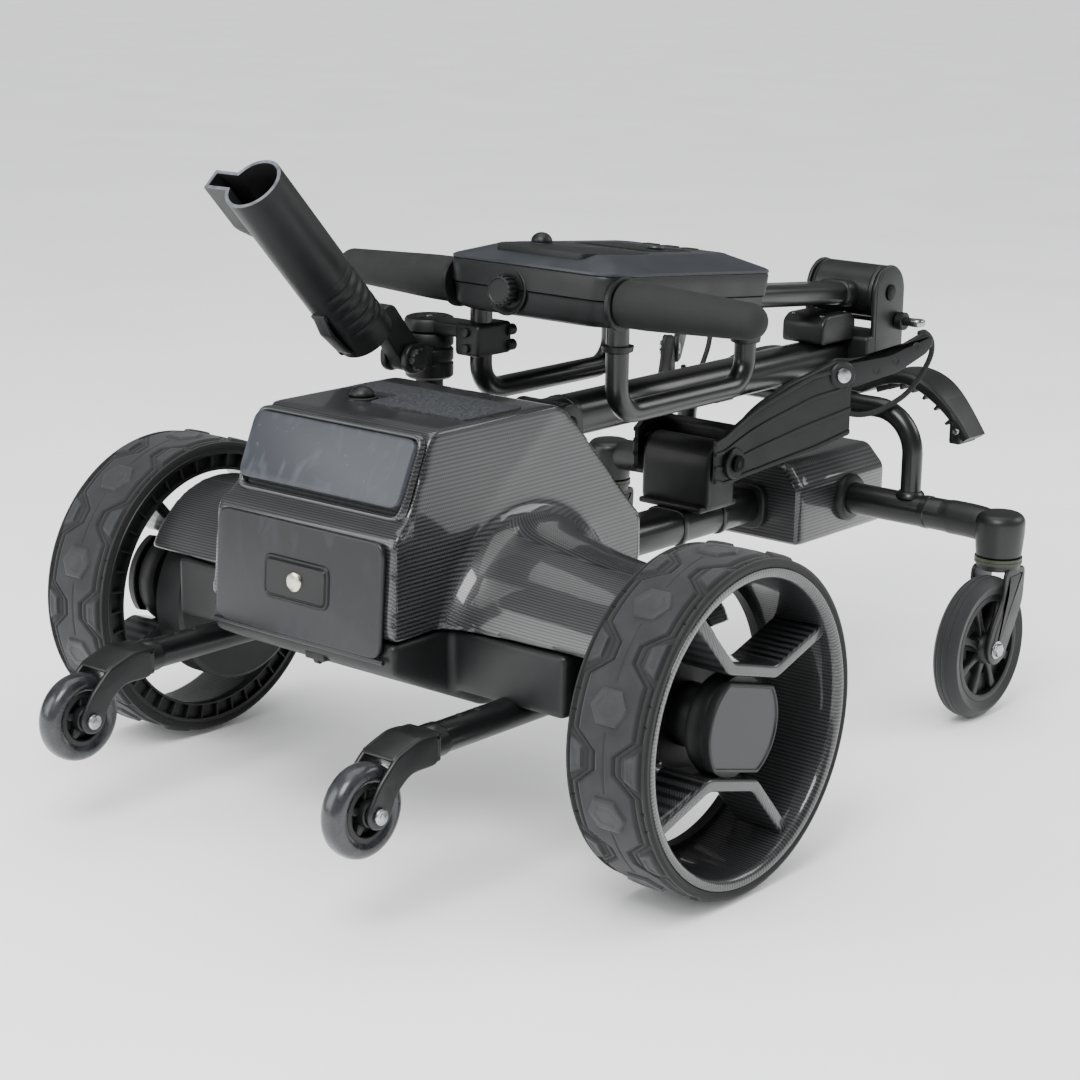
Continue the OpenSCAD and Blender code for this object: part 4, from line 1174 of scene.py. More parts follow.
@dataclass
class Housing:
    """Motor housing: carbon-look shell with side cones, tray, door with lock, sloping and grip plates."""

    finishes: Finishes
    seam: float = 207.0
    button: tuple = (-38.0, 45.0)  # x and y of the power button
    low_half: float = 112.0
    top_half: float = 99.0
    door_lean: float = math.degrees(math.atan2(6, 111))

    def build(self) -> None:
        """Makes the shell, the tray and everything fixed to them."""
        self.make_shell()
        self.make_tray()
        self.make_plates()
        self.make_door()
        self.make_inside()

    def half_width(self, z: Array) -> Array:
        """Half the body's width at each height: constant to the ledge, then narrowing to the top."""
        return self.low_half - (self.low_half - self.top_half) * smooth((z - 268) / 90)

    def make_shell(self) -> None:
        """The shell: body and cones melted into one skin, with its bay and mast pocket cut out."""
        side = [(-163.5, self.seam + 0.4), (-157.5, 296), (-139.5, 308), (-131, 318), (-106, 371), (-97, 379.6),
                (61, 379.6), (80, 372), (176, 268), (189.4, 258), (189.6, self.seam + 0.4)]
        plan = rounded(side, 9, 5)
        rows = np.linspace(-1, 1, 25)
        half = self.half_width(plan[:, 1])
        pull = 1 - 0.10 * smooth((plan[:, 0] - 70) / 120)
        body = np.stack([np.repeat(plan[:, 0][None], 25, 0), rows[:, None] * (half * pull)[None],
                         np.repeat(plan[:, 1][None], 25, 0)], -1)
        shape = Shape().skin(body)
        for sign in (1, -1):
            t = np.linspace(0, 1, 40)
            y = 80 + 199.4 * t
            flare = np.minimum(13 * np.exp(-((y - 106) / 10)), 15)
            wide = 95 + 17 * (1 - smooth(t * 1.25)) ** 1.2 + flare * 1.2
            tall = 95 + 4 * (1 - smooth(t * 1.1)) + flare
            level = 172 + 11 * (1 - smooth(t * 1.1))
            forward = 12 * (1 - smooth(t * 1.2))
            a = np.linspace(0, math.pi, 44)
            shell = np.stack([forward[:, None] + wide[:, None] * np.cos(a), np.repeat((sign * y)[:, None], 44, 1),
                              np.maximum(level[:, None] + tall[:, None] * np.sin(a), self.seam + 0.4)], -1)
            floor = shell[:, ::-1][:, 1:-1] * [1, 1, 0] + [0, 0, self.seam + 0.4]
            shape.skin(np.concatenate([shell, floor], 1))
        f = self.finishes
        shell = build("carbon_shell", shape, [f.carbon, f.shade_and_screen_black], "chassis", "housing_shell", slot="carbon_twill",
                      remesh=3.0, relax=7, crease=60)
        cuts = Shape()
        cuts.block((-210, -93.5, 199), (-27, 93.5, 284), 4)
        cuts.block((134, -38, 100), (230, 38, 420), 6)
        for sign in (1, -1):
            cuts.rod(vec(0, sign * 238, 150), vec(0, sign * 300, 150), 86, 0.5, 64)
        cuts.rod(vec(*self.button, 360), vec(*self.button, 400), 8.6, 0.3, 32)
        # The cut walls take near black painted shade.
        carve(shell, cuts, f.shade_and_screen_black, 60)
        lay_pattern(shell.data, Wrap.BOX, vec(-0.2275, 0, 0), 1.0)

    def make_tray(self) -> None:
        """The black tray under the seam: a hull-like body, shelves under the cones and a rounded belly under each."""
        z1 = self.seam - 0.5
        side = [(-163.2, z1), (-162, 180), (-149, 173), (-128, 163), (-44, 125), (150, 125), (188, 150), (189.5, z1)]
        plan = rounded(side, 7, 5)
        rows = np.linspace(-1, 1, 9)
        body = np.stack([np.repeat(plan[:, 0][None], 9, 0), np.repeat(rows[:, None] * (self.low_half - 0.5),
                                                                      len(plan), 1),
                         np.repeat(plan[:, 1][None], 9, 0)], -1)
        shape = Shape().skin(body)
        for sign in (1, -1):
            y0, y1 = sorted((sign * 100, sign * 237.5))
            shape.block((-90.5, y0, 151), (90.5, y1, z1), 3)
            ys = np.linspace(100, 237.5, 12)
            a = np.linspace(math.pi, 2 * math.pi, 30)
            belly = np.stack([26 * np.cos(a)[None] + 0 * ys[:, None], sign * ys[:, None] + 0 * a[None],
                              164 + (34 * np.sin(a))[None] + 0 * ys[:, None]], -1)
            shape.skin(belly)
        skin = build("tray", shape, [self.finishes.abs, self.finishes.shade_and_screen_black], "chassis", "housing_tray",
                     remesh=3.2, relax=4, crease=60)
        cuts = Shape()
        cuts.block((134, -38, 60), (230, 38, 420), 4)
        for sign in (1, -1):
            cuts.rod(vec(0, sign * 238.3, 150), vec(0, sign * 300, 150), 86, 0.5, 64)
        cuts.block((-144, -93, 176), (-27, 93, 230), 3)
        # The cut walls take near black painted shade.
        carve(skin, cuts, self.finishes.shade_and_screen_black, 50)

    def make_plates(self) -> None:
        """Sloping plate on its raised frame, grip panel, and the power button with its collar."""
        f = self.finishes
        lean = math.atan2(26, 60)
        stand = Stand.pitched(-139, 0, 314, math.degrees(lean))
        face = Stand(stand.origin, np.array([stand.axes[1], stand.axes[2], stand.axes[0]]))
        plates = Shape()
        plan = oblong(-97, 3, 97, 64, 11, 7)
        plates.slab(plan, -6.4, 7, 1.6, face)
        grip = rounded([(-50, -90), (28, -90), (28, 88), (-10, 88), (-10, 26), (-50, 26)], 7, 6)
        plates.slab(grip, 378.5, 381.6, 0.8, HOME, 3, finish=1)
        rim = oblong(-101, -9, 101, 71, 15, 7)
        # The sloping plate's lighter grey is painted sky reflection on the door's paint.
        build("sloping_plates", plates, [f.panel, f.grit], "chassis", "housing_panels")
        section = [(0.0, 3.0), (1.6, -1.2), (3.6, -2.2), (6.2, -1.2), (7.2, 1.8), (9.0, 7.0)]
        surround = Shape().grid(face.at(levels(rim, section)), around=True, along=True)
        build("plate_frame", surround, [f.carbon], "chassis", slot="carbon_twill", crease=70)
        button = Shape()
        t = np.linspace(0, 1, 12)
        dome = np.c_[11 * np.cos(t * math.pi / 2), 383.2 + 8.0 * np.sin(t * math.pi / 2)]
        button.turn(np.r_[[[0, 376]], [[7.6, 376]], [[7.6, 382.4]], [[10.6, 382.4]], dome].tolist(),
                    vec(*self.button, 0), 2, 48,
                    closed=False)
        build("power_dome", button, [f.abs], "power_button", "power_button")
        collar = Shape().turn([(11.5, 379), (15, 379), (14.6, 381.2), (13.6, 381.8), (11.8, 381.6)],
                              vec(*self.button, 0), 2, 48)
        build("power_collar", collar, [f.abs], "chassis")

    def door_stand(self) -> Stand:
        """The door's frame: x out of its face is negative, z up along it."""
        return Stand.pitched(-163.9, 0, 190, self.door_lean)

    def make_door(self) -> None:
        """The door: a plate with round corners and soft rim, its lock pad, barrel and the lock's face."""
        f = self.finishes
        s = self.door_stand()
        face = Stand(s.origin, np.array([s.axes[1], s.axes[2], s.axes[0]]))
        door = Shape()
        door.slab(oblong(-101, 2, 101, 104, 14, 7), -5.6, -0.6, 2.2, face, 5)
        door.slab(oblong(-90, 15, 90, 89, 6, 5), -0.8, 3.8, 0.6, face)
        door.rod(s.at(vec(-3, -103.5, 1)), s.at(vec(-3, 103.5, 1)), 2.4, 0.6, 24)
        pad = oblong(-40, 33, 40, 73, 10, 8)
        steps = [(0, -5.2), (0.4, -6.6), (1.2, -7.3), (2.6, -7.3), (3.2, -6.6), (4.0, -6.3), (4.6, -6.9), (5.2, -7.7)]
        door.skin(face.at(levels(pad, steps)), 1)
        build("door", door, [f.plate, f.abs], "battery_door", "battery_door")
        lock = Shape()
        c, d = s.at(vec(0, 0, 53)), s.axes[0]
        lock.turn([(0, -9.9), (7.4, -9.9), (8.4, -9.4), (8.9, -8.4), (8.9, 6), (0, 6)], c, d, 64, closed=False)
        lock.turn([(0, -9.4), (3.0, -9.4), (3.0, -9.95), (2.6, -10.0), (0, -10.0)], c, d, 32, closed=False)
        lock.block((6, -5, 46), (9, 5, 74), 0.8, s)
        build("lock_cylinder", lock, [f.chrome], "door_lock", "door_lock", slot="steel")
        catch = Shape()
        catch.block((-160, -26, 173.5), (-146, -2, 181), 2.0)
        catch.turn([(0, -3), (4.4, -3), (5.2, -2), (5.2, 2), (4.4, 3), (0, 3)], vec(-154, -14, 174.5), 1, 24,
                   closed=False)
        build("door_catch", catch, [f.abs], "chassis")

    def make_inside(self) -> None:
        """Battery with its end straps, controller board with parts, wheel motors with ribbed faces, beam."""
        f = self.finishes
        pack = Shape().block((-145, -90, 205), (-34, 90, 280), 6)
        for y in (-62, -20, 22, 64):
            pack.block((-145.6, y - 7, 204.6), (-33.4, y + 7, 280.4), 3, finish=1)
        pack.block((-148, -14, 232), (-144, 14, 252), 1.5, finish=1)
        build("battery_block", pack, [f.film, f.abs], "chassis", "battery_pack", slot="battery_case")
        board = Shape().block((-130, -60, 288), (-40, 60, 290), 0.6)
        board.block((-115, -40, 290), (-75, 20, 302), 2, finish=1)
        for i in range(6):
            board.rod(vec(-62, -48 + 18 * i, 290), vec(-62, -48 + 18 * i, 300), 4.5, 1, 20, finish=2)
        for x in (-124, -46):
            for y in (-54, 54):
                board.rod(vec(x, y, 280), vec(x, y, 289), 3, 0.4, 16, finish=2)
        build("controller", board, [f.board, f.abs, f.steel], "chassis", "controller_board", slot="circuit_board")
        motors = Shape()
        for sign in (1, -1):
            can = Shape()
            can.turn([(12, 240.2), (30, 240.2), (30, 244), (80, 244), (84, 247), (84, 278), (81, 281), (70, 281),
                      (69, 279), (40, 279), (38, 281.4), (26, 281.4), (25, 279.6), (10.3, 279.6), (10.3, 246)],
                     vec(0, 0, 150), 1, 96)
            for i in range(24):
                can.block((38, -1.6, 278), (70, 1.6, 281.8), 0.8, spoke(vec(0, 0, 150), 15 * i))
            motors.join(can.on(sign))
        build("motor_cans", motors, [f.abs], "chassis", "hub_motors")
        beam = Shape().rod(vec(0, -239.8, 150), vec(0, 239.8, 150), 21.9, 2, 64)
        beam.block((-30, -24, 150), (30, 24, 177), 3)
        for y in (-150, -118, 118, 150):
            beam.turn([(22, -3), (24.5, -2), (24.5, 2), (22, 3)], vec(0, y, 150), 1, 64)
        build("beam", beam, [f.tube], "chassis", "axle_beam", slot="painted_tube")


# ---- Frame ----


@dataclass
class Frame:
    """Spine, front box, cross tube with caster heads, hoop, pivot block, mast lugs and pins."""

    finishes: Finishes
    spine_z: float = 195.0
    cross_x: float = 592.0
    cross_z: float = 197.0
    head_y: float = 257.0

    def build(self) -> None:
        """Makes each member."""
        f = self.finishes
        spine = self.oval(-30, 569.5, self.spine_z, 25, 18, 15)
        for x in (196, 360, 428):
            spine.slab(oblong(-25.9, -18.9, 25.9, 18.9, 15, 8), x, x + 7, 1.0,
                       Stand(vec(0, 0, self.spine_z), CROSS))
        build("spine", spine, [f.tube], "chassis", "spine_tube", slot="painted_tube")
        build("front_case", self.case(), [f.carbon, f.abs], "chassis", "front_box", slot="carbon_twill")
        build("cross_bar", self.cross(), [f.tube], "chassis", "cross_tube", slot="painted_tube")
        build("caster_castings", self.heads(), [f.casting], "chassis", "caster_heads", slot="painted_tube")
        build("hoop", self.hoop(), [f.tube], "chassis", "front_hoop", slot="painted_tube")
        build("cradle_pivot", self.pivot(), [f.casting, f.steel], "chassis", "pivot_block")
        build("mast_foot", self.lugs(), [f.casting], "chassis", "mast_lugs", slot="painted_tube")
        build("pins", self.pins(), [f.bolt, f.shade_and_screen_black], "chassis", "hinge_pins", slot="steel")

    def oval(self, x0: float, x1: float, z: float, half_w: float, half_h: float, r: float) -> Shape:
        """A rounded tube along X with softened ends."""
        plan = oblong(-half_w, -half_h, half_w, half_h, r * 1.35, 9)
        return Shape().slab(plan, x0, x1, 1.0, Stand(vec(0, 0, z), CROSS))

    def case(self) -> Shape:
        """The front box: a chest with a chamfered lid, collars round the tubes and an end plate."""
        lower = rounded([(-70, 158), (70, 158), (70, 222), (48, 244.5), (-48, 244.5), (-70, 222)], 7, 6)
        shape = Shape()
        stand = Stand(vec(0, 0, 0), CROSS)
        ends = [(4.5, 498.3), (2.2, 500), (0.8, 503), (0, 512), (0, 656), (1.2, 662), (4.0, 664.6)]
        shape.skin(stand.at(levels(lower, ends)))
        for sign in (1, -1):
            collar = Shape()
            collar.turn([(17, 69), (25.5, 69), (25.5, 74), (23.5, 77.5), (20.5, 79), (17, 79)],
                        vec(self.cross_x, 0, self.cross_z), 1, 64)
            shape.join(collar.on(sign), 1)
        mouth = oblong(-31, -24, 31, 24, 18, 8)
        shape.slab(mouth, 490, 500, 2.0, Stand(vec(0, 0, self.spine_z), CROSS), finish=1)
        return shape

    def cross(self) -> Shape:
        """The cross bar with a turned seam near each end."""
        shape = Shape().rod(vec(self.cross_x, -198, self.cross_z), vec(self.cross_x, 198, self.cross_z), 16.9,
                            0.8, 56)
        for y in (-170, 170):
            shape.turn([(16.8, -4), (17.6, -3), (17.6, 3), (16.8, 4)], vec(self.cross_x, y, self.cross_z), 1, 56)
        return shape

    def heads(self) -> Shape:
        """Each caster's head: an arm that swells and turns down into a capped barrel."""
        whole = Shape()
        for sign in (1, -1):
            shape = Shape()
            path = curve([(self.cross_x, 189, self.cross_z), (self.cross_x, 205, self.cross_z),
                          (self.cross_x, 228, self.cross_z - 0.5), (self.cross_x, 246, self.cross_z - 3),
                          (self.cross_x, 258, self.cross_z - 8)], 7)
            r = np.interp(path[:, 1], [189, 196, 202, 232, 258], [16.8, 17.2, 18.2, 18.4, 15.5])
            shape.tube(path, np.minimum(r, 17.9), vec(1, 0, 0), 44)
            t = np.linspace(0, math.pi / 2, 8)
            cap = np.c_[16 + 9.6 * np.cos(t), 201.5 + 10 * np.sin(t)]
            barrel = np.r_[[[0, 166.2], [21.5, 166.2], [23.4, 167.6], [25.4, 190]], cap, [[0, 211.7]]]
            shape.turn(barrel, vec(self.cross_x, self.head_y, 0), 2, 72, closed=False)
            whole.join(shape.on(sign))
        return whole

    def hoop(self) -> Shape:
        """The hoop: one bar, two legs and a flat top with quarter bends, and its foot welds."""
        leg, top, turn, x = 148.0, 300.0, 45.0, self.cross_x
        left = arc((leg - turn, top - turn), turn, 0, 90, 12)
        line = np.r_[[[leg, 206]], left, left[::-1] * [-1, 1], [[-leg, 206]]]
        path = np.c_[np.full(len(line), x), line]
        shape = Shape().tube(path, 10.9, vec(1, 0, 0), 36)
        for sign in (1, -1):
            shape.turn([(11, 210), (15.5, 210), (14.8, 214), (12.4, 216.5), (11, 217)], vec(x, sign * leg, 0), 2, 40)
        return shape

    def pivot(self) -> Shape:
        """The cradle's block on the spine: a round-headed block on a foot plate, with a disc on each side."""
        outline = rounded([(374, 213.2), (420, 213.2), (420, 262), (414, 279), (397, 286.6), (380, 279),
                           (374, 262)], 9, 6)
        shape = Shape()
        shape.slab(outline, -43.8, 43.8, 5.5, UPRIGHT, 6)
        disc = [(6.2, 42), (16, 42), (16.5, 43.4), (16.5, 45.6), (15.6, 46.4), (12, 46.4), (11.2, 45.4), (6.2, 45.4)]
        for sign in (1, -1):
            shape.join(Shape().turn(disc, vec(397, 0, 264), 1, 64).on(sign))
        shape.block((366, -40, 213), (428, 40, 219), 2)
        return shape

    def lugs(self) -> Shape:
        """Two cheeks that hold the mast's foot, on a plate welded to the spine."""
        shape = Shape()
        cheek = rounded([(143.4, 213.4), (187, 213.4), (187, 330), (181, 350), (165, 356.6), (149, 350),
                         (143.4, 330)], 10, 7)
        for a, b in ((-30.8, -23.2), (23.2, 30.8)):
            shape.slab(cheek, a, b, 1.6, UPRIGHT)
            window = oblong(153, 236, 177, 300, 8, 6)
            shape.slab(window, a - 0.1 if a < 0 else b - 1.0, a + 1.0 if a < 0 else b + 0.1, 0.4, UPRIGHT)
        shape.block((143.2, -30.8, 213.3), (194.8, 30.8, 219), 1.6)
        return shape

    def pins(self) -> Shape:
        """Hinge pins with domed heads and a hexagon socket in each."""
        shape = Shape()
        for (x, z), reach, head in (((165, 335), 31, 34), ((397, 264), 61.5, 64.5)):
            shape.rod(vec(x, -reach, z), vec(x, reach, z), 5.9, 0.5, 32)
            for sign in (1, -1):
                a, b = sorted((sign * reach, sign * head))
                shape.rod(vec(x, a, z), vec(x, b, z), 9, 1.3, 40)
                c = sign * (head + 0.05)
                # The hexagon socket takes near black painted shade.
                shape.rod(vec(x, c - 0.4, z), vec(x, c + 0.1, z), 3.6, 0.05, 6, finish=1)
        return shape


# ---- Mast ----


@dataclass
class Mast:
    """The folded mast: oval tube, fold bracket with its pin, latch lever and the upper bag cradle."""

    finishes: Finishes
    z: float = 335.0
    foot_x: float = 165.0
    fold_x: float = 697.0
    fold_z: float = 404.0

    def build(self) -> None:
        """Makes each part."""
        f = self.finishes
        build("mast_bar", self.tube(), [f.tube, f.casting], "mast", "mast_tube", slot="painted_tube")
        build("fold_joint", self.bracket(), [f.casting, f.steel], "mast", "fold_bracket")
        build("fold_bolt", self.bolt(), [f.bolt, f.shade_and_screen_black], "mast", "fold_pin", slot="steel")
        build("upper_bag_rest", self.cradle(), [f.abs, f.casting, f.steel], "mast", "upper_cradle")
        build("latch", self.latch(), [f.abs, f.steel], "latch_lever", "latch_lever")

    def tube(self) -> Shape:
        """The tube: a tall rounded oval, with its eye at the foot and a collar near the bracket."""
        shape = Frame(self.finishes).oval(self.foot_x + 3, 655, self.z, 21.9, 19.9, 17)
        shape.rod(vec(self.foot_x, -22, self.z), vec(self.foot_x, 22, self.z), 19.9, 1.2, 56, finish=1)
        collar = oblong(-22.8, -20.8, 22.8, 20.8, 22, 8)
        shape.slab(collar, 186, 196, 1.0, Stand(vec(0, 0, self.z), CROSS), finish=1)
        return shape

    def bracket(self) -> Shape:
        """Two cheeks with round heads, joined by a block; a stop block with small pins sits behind."""
        shape = Shape()
        x, z = self.fold_x, self.fold_z
        top = arc((x, z), 29.9, 180, 0, 24)
        outline = np.r_[[[667.2, 318], [671, 314.3], [723, 314.3], [726.8, 318]], top[::-1]]
        for sign in (1, -1):
            shape.slab(outline, *sorted((sign * 40.6, sign * 45.3)), 1.6, UPRIGHT)
            shape.slab(inset(outline, 4.0), *sorted((sign * 44, sign * 45.9)), 0.5, UPRIGHT)
        shape.slab(rounded([(655.3, 314.3), (726.5, 314.3), (726.5, 345), (714, 359.5), (655.3, 359.5)], 6, 6),
                   -45.5, 45.5, 3,
                   UPRIGHT)
        stop = rounded([(596.5, 355), (659.8, 355), (659.8, 378), (650, 385.8), (606, 385.8), (596.5, 378)], 5, 5)
        shape.slab(stop, -26.8, 26.8, 3, UPRIGHT)
        for sx in (606, 650):
            for sy in (-18, 18):
                shape.rod(vec(sx, sy, 384), vec(sx, sy, 385.9), 2.6, 0.4, 20, finish=1)
        for sign in (1, -1):
            for bx, bz in ((684, 328), (714, 328)):
                a, b = sorted((sign * 45, sign * 45.95))
                shape.rod(vec(bx, a, bz), vec(bx, b, bz), 4.2, 0.3, 6, finish=1)
        return shape

    def bolt(self) -> Shape:
        """The fold's bolt: a domed head with a recessed socket on each side."""
        x, z = self.fold_x, self.fold_z
        shape = Shape().rod(vec(x, -46, z), vec(x, 46, z), 5.9, 0.4, 32)
        for sign in (1, -1):
            a, b = sorted((sign * 46, sign * 47.9))
            shape.rod(vec(x, a, z), vec(x, b, z), 9, 0.9, 40)
            c = sign * 47.8
            # The socket takes near black painted shade.
            shape.rod(vec(x, c - 0.3, z), vec(x, c + 0.2, z), 3.8, 0.05, 6, finish=1)
        return shape

    def rest_height(self, u: Array) -> Array:
        """The bag rest's middle line: a dip at the mast, a rise, then a fall to each end."""
        rise = 306 + 16 * np.sin(np.clip((u - 45) / 50, 0, 1) * math.pi / 2)
        return rise - 58 * (np.maximum(u - 95, 0) / 80) ** 2

    def cradle(self) -> Shape:
        """The bag rest: a thick padded band carried along its gull-shaped line, ribs and end clips.

        The section is a rounded rectangle 52 mm long and 14 mm thick that thins towards the ends; it
        stands square to the line.
        """
        shape = Shape()
        y = np.linspace(-174.5, 174.5, 90)
        z = self.rest_height(np.abs(y))
        path = np.c_[np.full_like(y, 672), y, z]
        ahead = unit(np.gradient(path, axis=0))
        up = np.cross(vec(1, 0, 0), ahead)
        section = oblong(-25.8, -6.6, 25.8, 6.6, 5, 6)
        slim = (1 - 0.28 * smooth((np.abs(y) - 120) / 55))[:, None, None]
        points = path[:, None] + section[None, :, :1] * slim * vec(1, 0, 0) + section[None, :, 1:] * slim * up[:,
                                                                                                               None]
        shape.skin(points)
        pad_y = np.linspace(58, 160, 50)
        for sign in (1, -1):
            pz = self.rest_height(pad_y)
            path = np.c_[np.full_like(pad_y, 672), sign * pad_y, pz]
            ahead = unit(np.gradient(path, axis=0))
            up = np.cross(vec(1, 0, 0), ahead) * sign
            swell = (0.35 + 0.65 * np.sin(np.linspace(0.02, 0.98, 50) * math.pi) ** 0.4)[:, None, None]
            section = oblong(-21, -5, 21, 6.9, 5, 6)
            points = path[:, None] + section[None, :, :1] * vec(1, 0, 0) + section[None, :, 1:] * up[:, None] * swell
            shape.skin(points, 1)
            for k in range(7):
                u = 64 + 15 * k
                h = float(self.rest_height(np.array(u)))
                lean = math.degrees(math.atan2(float(self.rest_height(np.array(u + 1.0))) - h, 1.0))
                stand = Stand(vec(672, sign * u, h - 8.2), np.array([[1, 0, 0], [0, math.cos(math.radians(lean)),
                              sign * math.sin(math.radians(lean))], [0, -sign * math.sin(math.radians(lean)),
                                                                     math.cos(math.radians(lean))]]))
                shape.block((-22, -1.6, -4.5), (22, 1.6, 2.5), 0.8, stand)
            shape.block((655, sign * 160 - 7, 270 - 12), (690, sign * 160 + 7, 284 - 2), 2.4)
            shape.rod(vec(646.5, sign * 166, 274), vec(650, sign * 166, 274), 3.2, 0.6, 20, finish=2)
        shape.block((650, -40, 296), (694, 40, 313), 3)
        return shape

    def latch(self) -> Shape:
        """The latch: a cross shaft with two round ends and a winged thumb plate with a bright tip."""
        shape = Shape().rod(vec(715, -47.9, 371), vec(715, 47.9, 371), 4.9, 0.5, 32)
        shape.turn([(4, -56), (8.6, -56), (9.9, -54.8), (9.9, -47.6), (9, -46.6), (4, -46.6)], vec(715, 0, 371),
                   1, 48)
        shape.turn([(4, 46.6), (9, 46.6), (9.9, 47.6), (9.9, 49), (9, 49.9), (4, 49.9)], vec(715, 0, 371), 1, 48)
        wing = rounded([(708.3, -54.5), (708.3, -74), (712, -77.8), (721, -77.8), (723.8, -72), (722, -54.5)], 3, 5)
        shape.slab(wing, 367.2, 374.8, 2.2)
        tip = rounded([(707.9, -64), (707.9, -74), (712, -78), (721.4, -78), (724, -72), (723, -64)], 3, 5)
        shape.slab(tip, 366.9, 375.1, 2.2, finish=1)
        return shape


# ---- Handle and console ----


@dataclass
class Handle:
    """The handle: tube, console in two halves with its lid, dials, buttons, guard bars and grips."""

    finishes: Finishes
    pitch: float = 5.0
    rear: float = -570.0
    front: float = -305.0
    half: float = 100.0
    jog_at: tuple = (-495.0, 43.0)
    key_at: tuple = (-410.0, -30.0)
    knob_at: tuple = (20.0, 8.0)  # y and z of the speed knob

    def stand(self) -> Stand:
        """The handle's frame: x towards the fold, z up, tilted with the folded handle."""
        return Stand.pitched(697, 0, 404, self.pitch)

    def build(self) -> None:
        """Makes each part."""
        f = self.finishes
        build("handle_bar", self.tube(), [f.tube, f.casting], "handle", "handle_tube", slot="painted_tube")
        build("console_tub", self.tub(), [f.abs, f.shade_and_screen_black], "handle", "console_base")
        build("console_cover", self.lid(), [f.satin, f.abs, f.shade_and_screen_black], "handle", "console_lid",
              slot="satin_plastic",
              crease=28)
        build("guard_rails", self.rails(), [f.tube], "handle", "guard_bars", slot="painted_tube")
        build("hand_grips", self.grips(), [f.foam], "handle", "grips", slot="grip_foam")
        build("speed_dial", self.knob(), [f.abs], "speed_knob", "speed_knob")
        build("jog_dome", self.jog(), [f.abs], "jog_dial", "jog_dial")
        build("mode_key", self.key(), [f.satin, f.abs], "mode_button", "mode_button", slot="satin_plastic")

    def tube(self) -> Shape:
        """The tube and the fold's barrel with turned ring lines."""
        s = self.stand()
        plan = oblong(-19.9, -11.9, 19.9, 11.9, 13, 9)
        shape = Shape()
        shape.slab(plan, -525, -20, 1, Stand(s.at(vec(0, 0, -4)), CROSS @ s.axes))
        y = np.array([-39.8, -39, -37, -35.5, -35, -34.5, -33, 33, 34.5, 35, 35.5, 37, 39, 39.8])
        r = np.array([26.5, 28.2, 28.9, 28.9, 28.1, 28.9, 28.9, 28.9, 28.9, 28.1, 28.9, 28.9, 28.2, 26.5])
        profile = np.r_[[[0, -39.8]], np.c_[r, y], [[0, 39.8]]]
        shape.turn(profile.tolist(), s.origin, 1, 96, closed=False, finish=1)
        plan = oblong(-22.4, -14.2, 22.4, 14.2, 14, 9)
        shape.slab(plan, -46, -20, 3, Stand(s.at(vec(0, 0, -4)), CROSS @ s.axes), finish=1)
        return shape

    def plan(self, by: float = 0.0) -> Array:
        """The console seen from above: a rectangle with cut corners, moved inwards."""
        a, b, h = self.rear + by, self.front - by, self.half - by
        return rounded([(a, -h + 14), (a + 10, -h), (b - 9, -h), (b, -h + 9), (b, h - 9), (b - 9, h),
                        (a + 10, h), (a, h - 14)], 10, 6)

    def rings(self, table: list) -> Array:
        """The plan at each (inset, height) of a table, in the maker's frame."""
        rows = [np.c_[self.plan(d), np.full(len(self.plan(d)), h)] for d, h in table]
        return self.stand().at(np.array(rows))

    def tub(self) -> Shape:
        """The tub: flared walls with a waist line, a belly, the knob's round recess and grip collars."""
        s = self.stand()
        shape = Shape().grid(self.rings([(30, -16), (14, -15.8), (8, -13.5), (4.5, -8), (3.2, 6), (2.4, 8.6),
                                         (3.4, 9.4),
                                         (1.6, 10.4), (0.6, 22), (0.2, 30), (0.8, 31.8), (4, 32)]), around=True,
                                         caps=True)
        c = s.at(vec(self.rear, *self.knob_at))
        out = -s.axes[0]
        shape.turn([(17.5, -3), (23.0, -3), (23.6, -0.8), (22.4, -0.2), (20.6, -0.6), (18.4, -2.4)], c, out, 64)
        for sign in (1, -1):
            collar = Shape().turn([(14, 97), (25, 97), (25.2, 101), (23.6, 102.4), (14, 102.4)], vec(155, 0, 460),
                                  1, 64)
            shape.join(collar.on(sign))
            for x in (168, 372):
                shape.turn([(11.2, 0), (15.4, 0), (14.6, -5), (11.2, -6.5)],
                           vec(x, sign * 84, 417.5 if x < 200 else 401.0), 2, 40)
        return shape

    def lid(self) -> Shape:
        """The lid: a bevelled cover with a recessed top panel, its lines, a screen and small keys."""
        s = self.stand()
        shape = Shape().grid(self.rings([(2, 32.1), (0.6, 32.3), (0.0, 33.2), (0.2, 35.2), (3, 37.0), (30, 47.6),
                                         (32, 48.6),
                                         (34, 48.9), (34.6, 48.2), (35.6, 48.2), (36.2, 48.9)]), around=True,
                                         caps=True)
        wedge = rounded([(-552, -52), (-508, -64), (-470, -64), (-452, -56), (-452, 56), (-470, 64), (-508, 64),
                         (-552, 52)], 6, 6)
        shape.slab(wedge, 42.0, 49.4, 0.8, s, finish=1)
        screen = oblong(-444, -46, -372, 46, 5, 6)
        shape.slab(screen, 46.0, 49.5, 0.6, s, finish=1)
        shape.slab(inset(screen, 6), 46.0, 49.8, 0.4, s, finish=2)
        for y in (-24, 0, 24):
            key = oblong(-352, y - 8, -340, y + 8, 3, 5)
            shape.slab(key, 47.0, 49.9, 0.8, s, finish=1)
        c = s.at(vec(*self.jog_at, 0))
        shape.turn([(11.3, 48.6), (13.6, 48.6), (13.4, 49.9), (12.4, 50.0), (11.3, 49.6)], c, s.axes[2], 48)
        c = s.at(vec(*self.key_at, 0))
        shape.turn([(9.5, 48.9), (12.2, 48.9), (11.8, 49.9), (10.2, 50.0), (9.6, 49.9)], c, s.axes[2], 48, finish=1)
        return shape

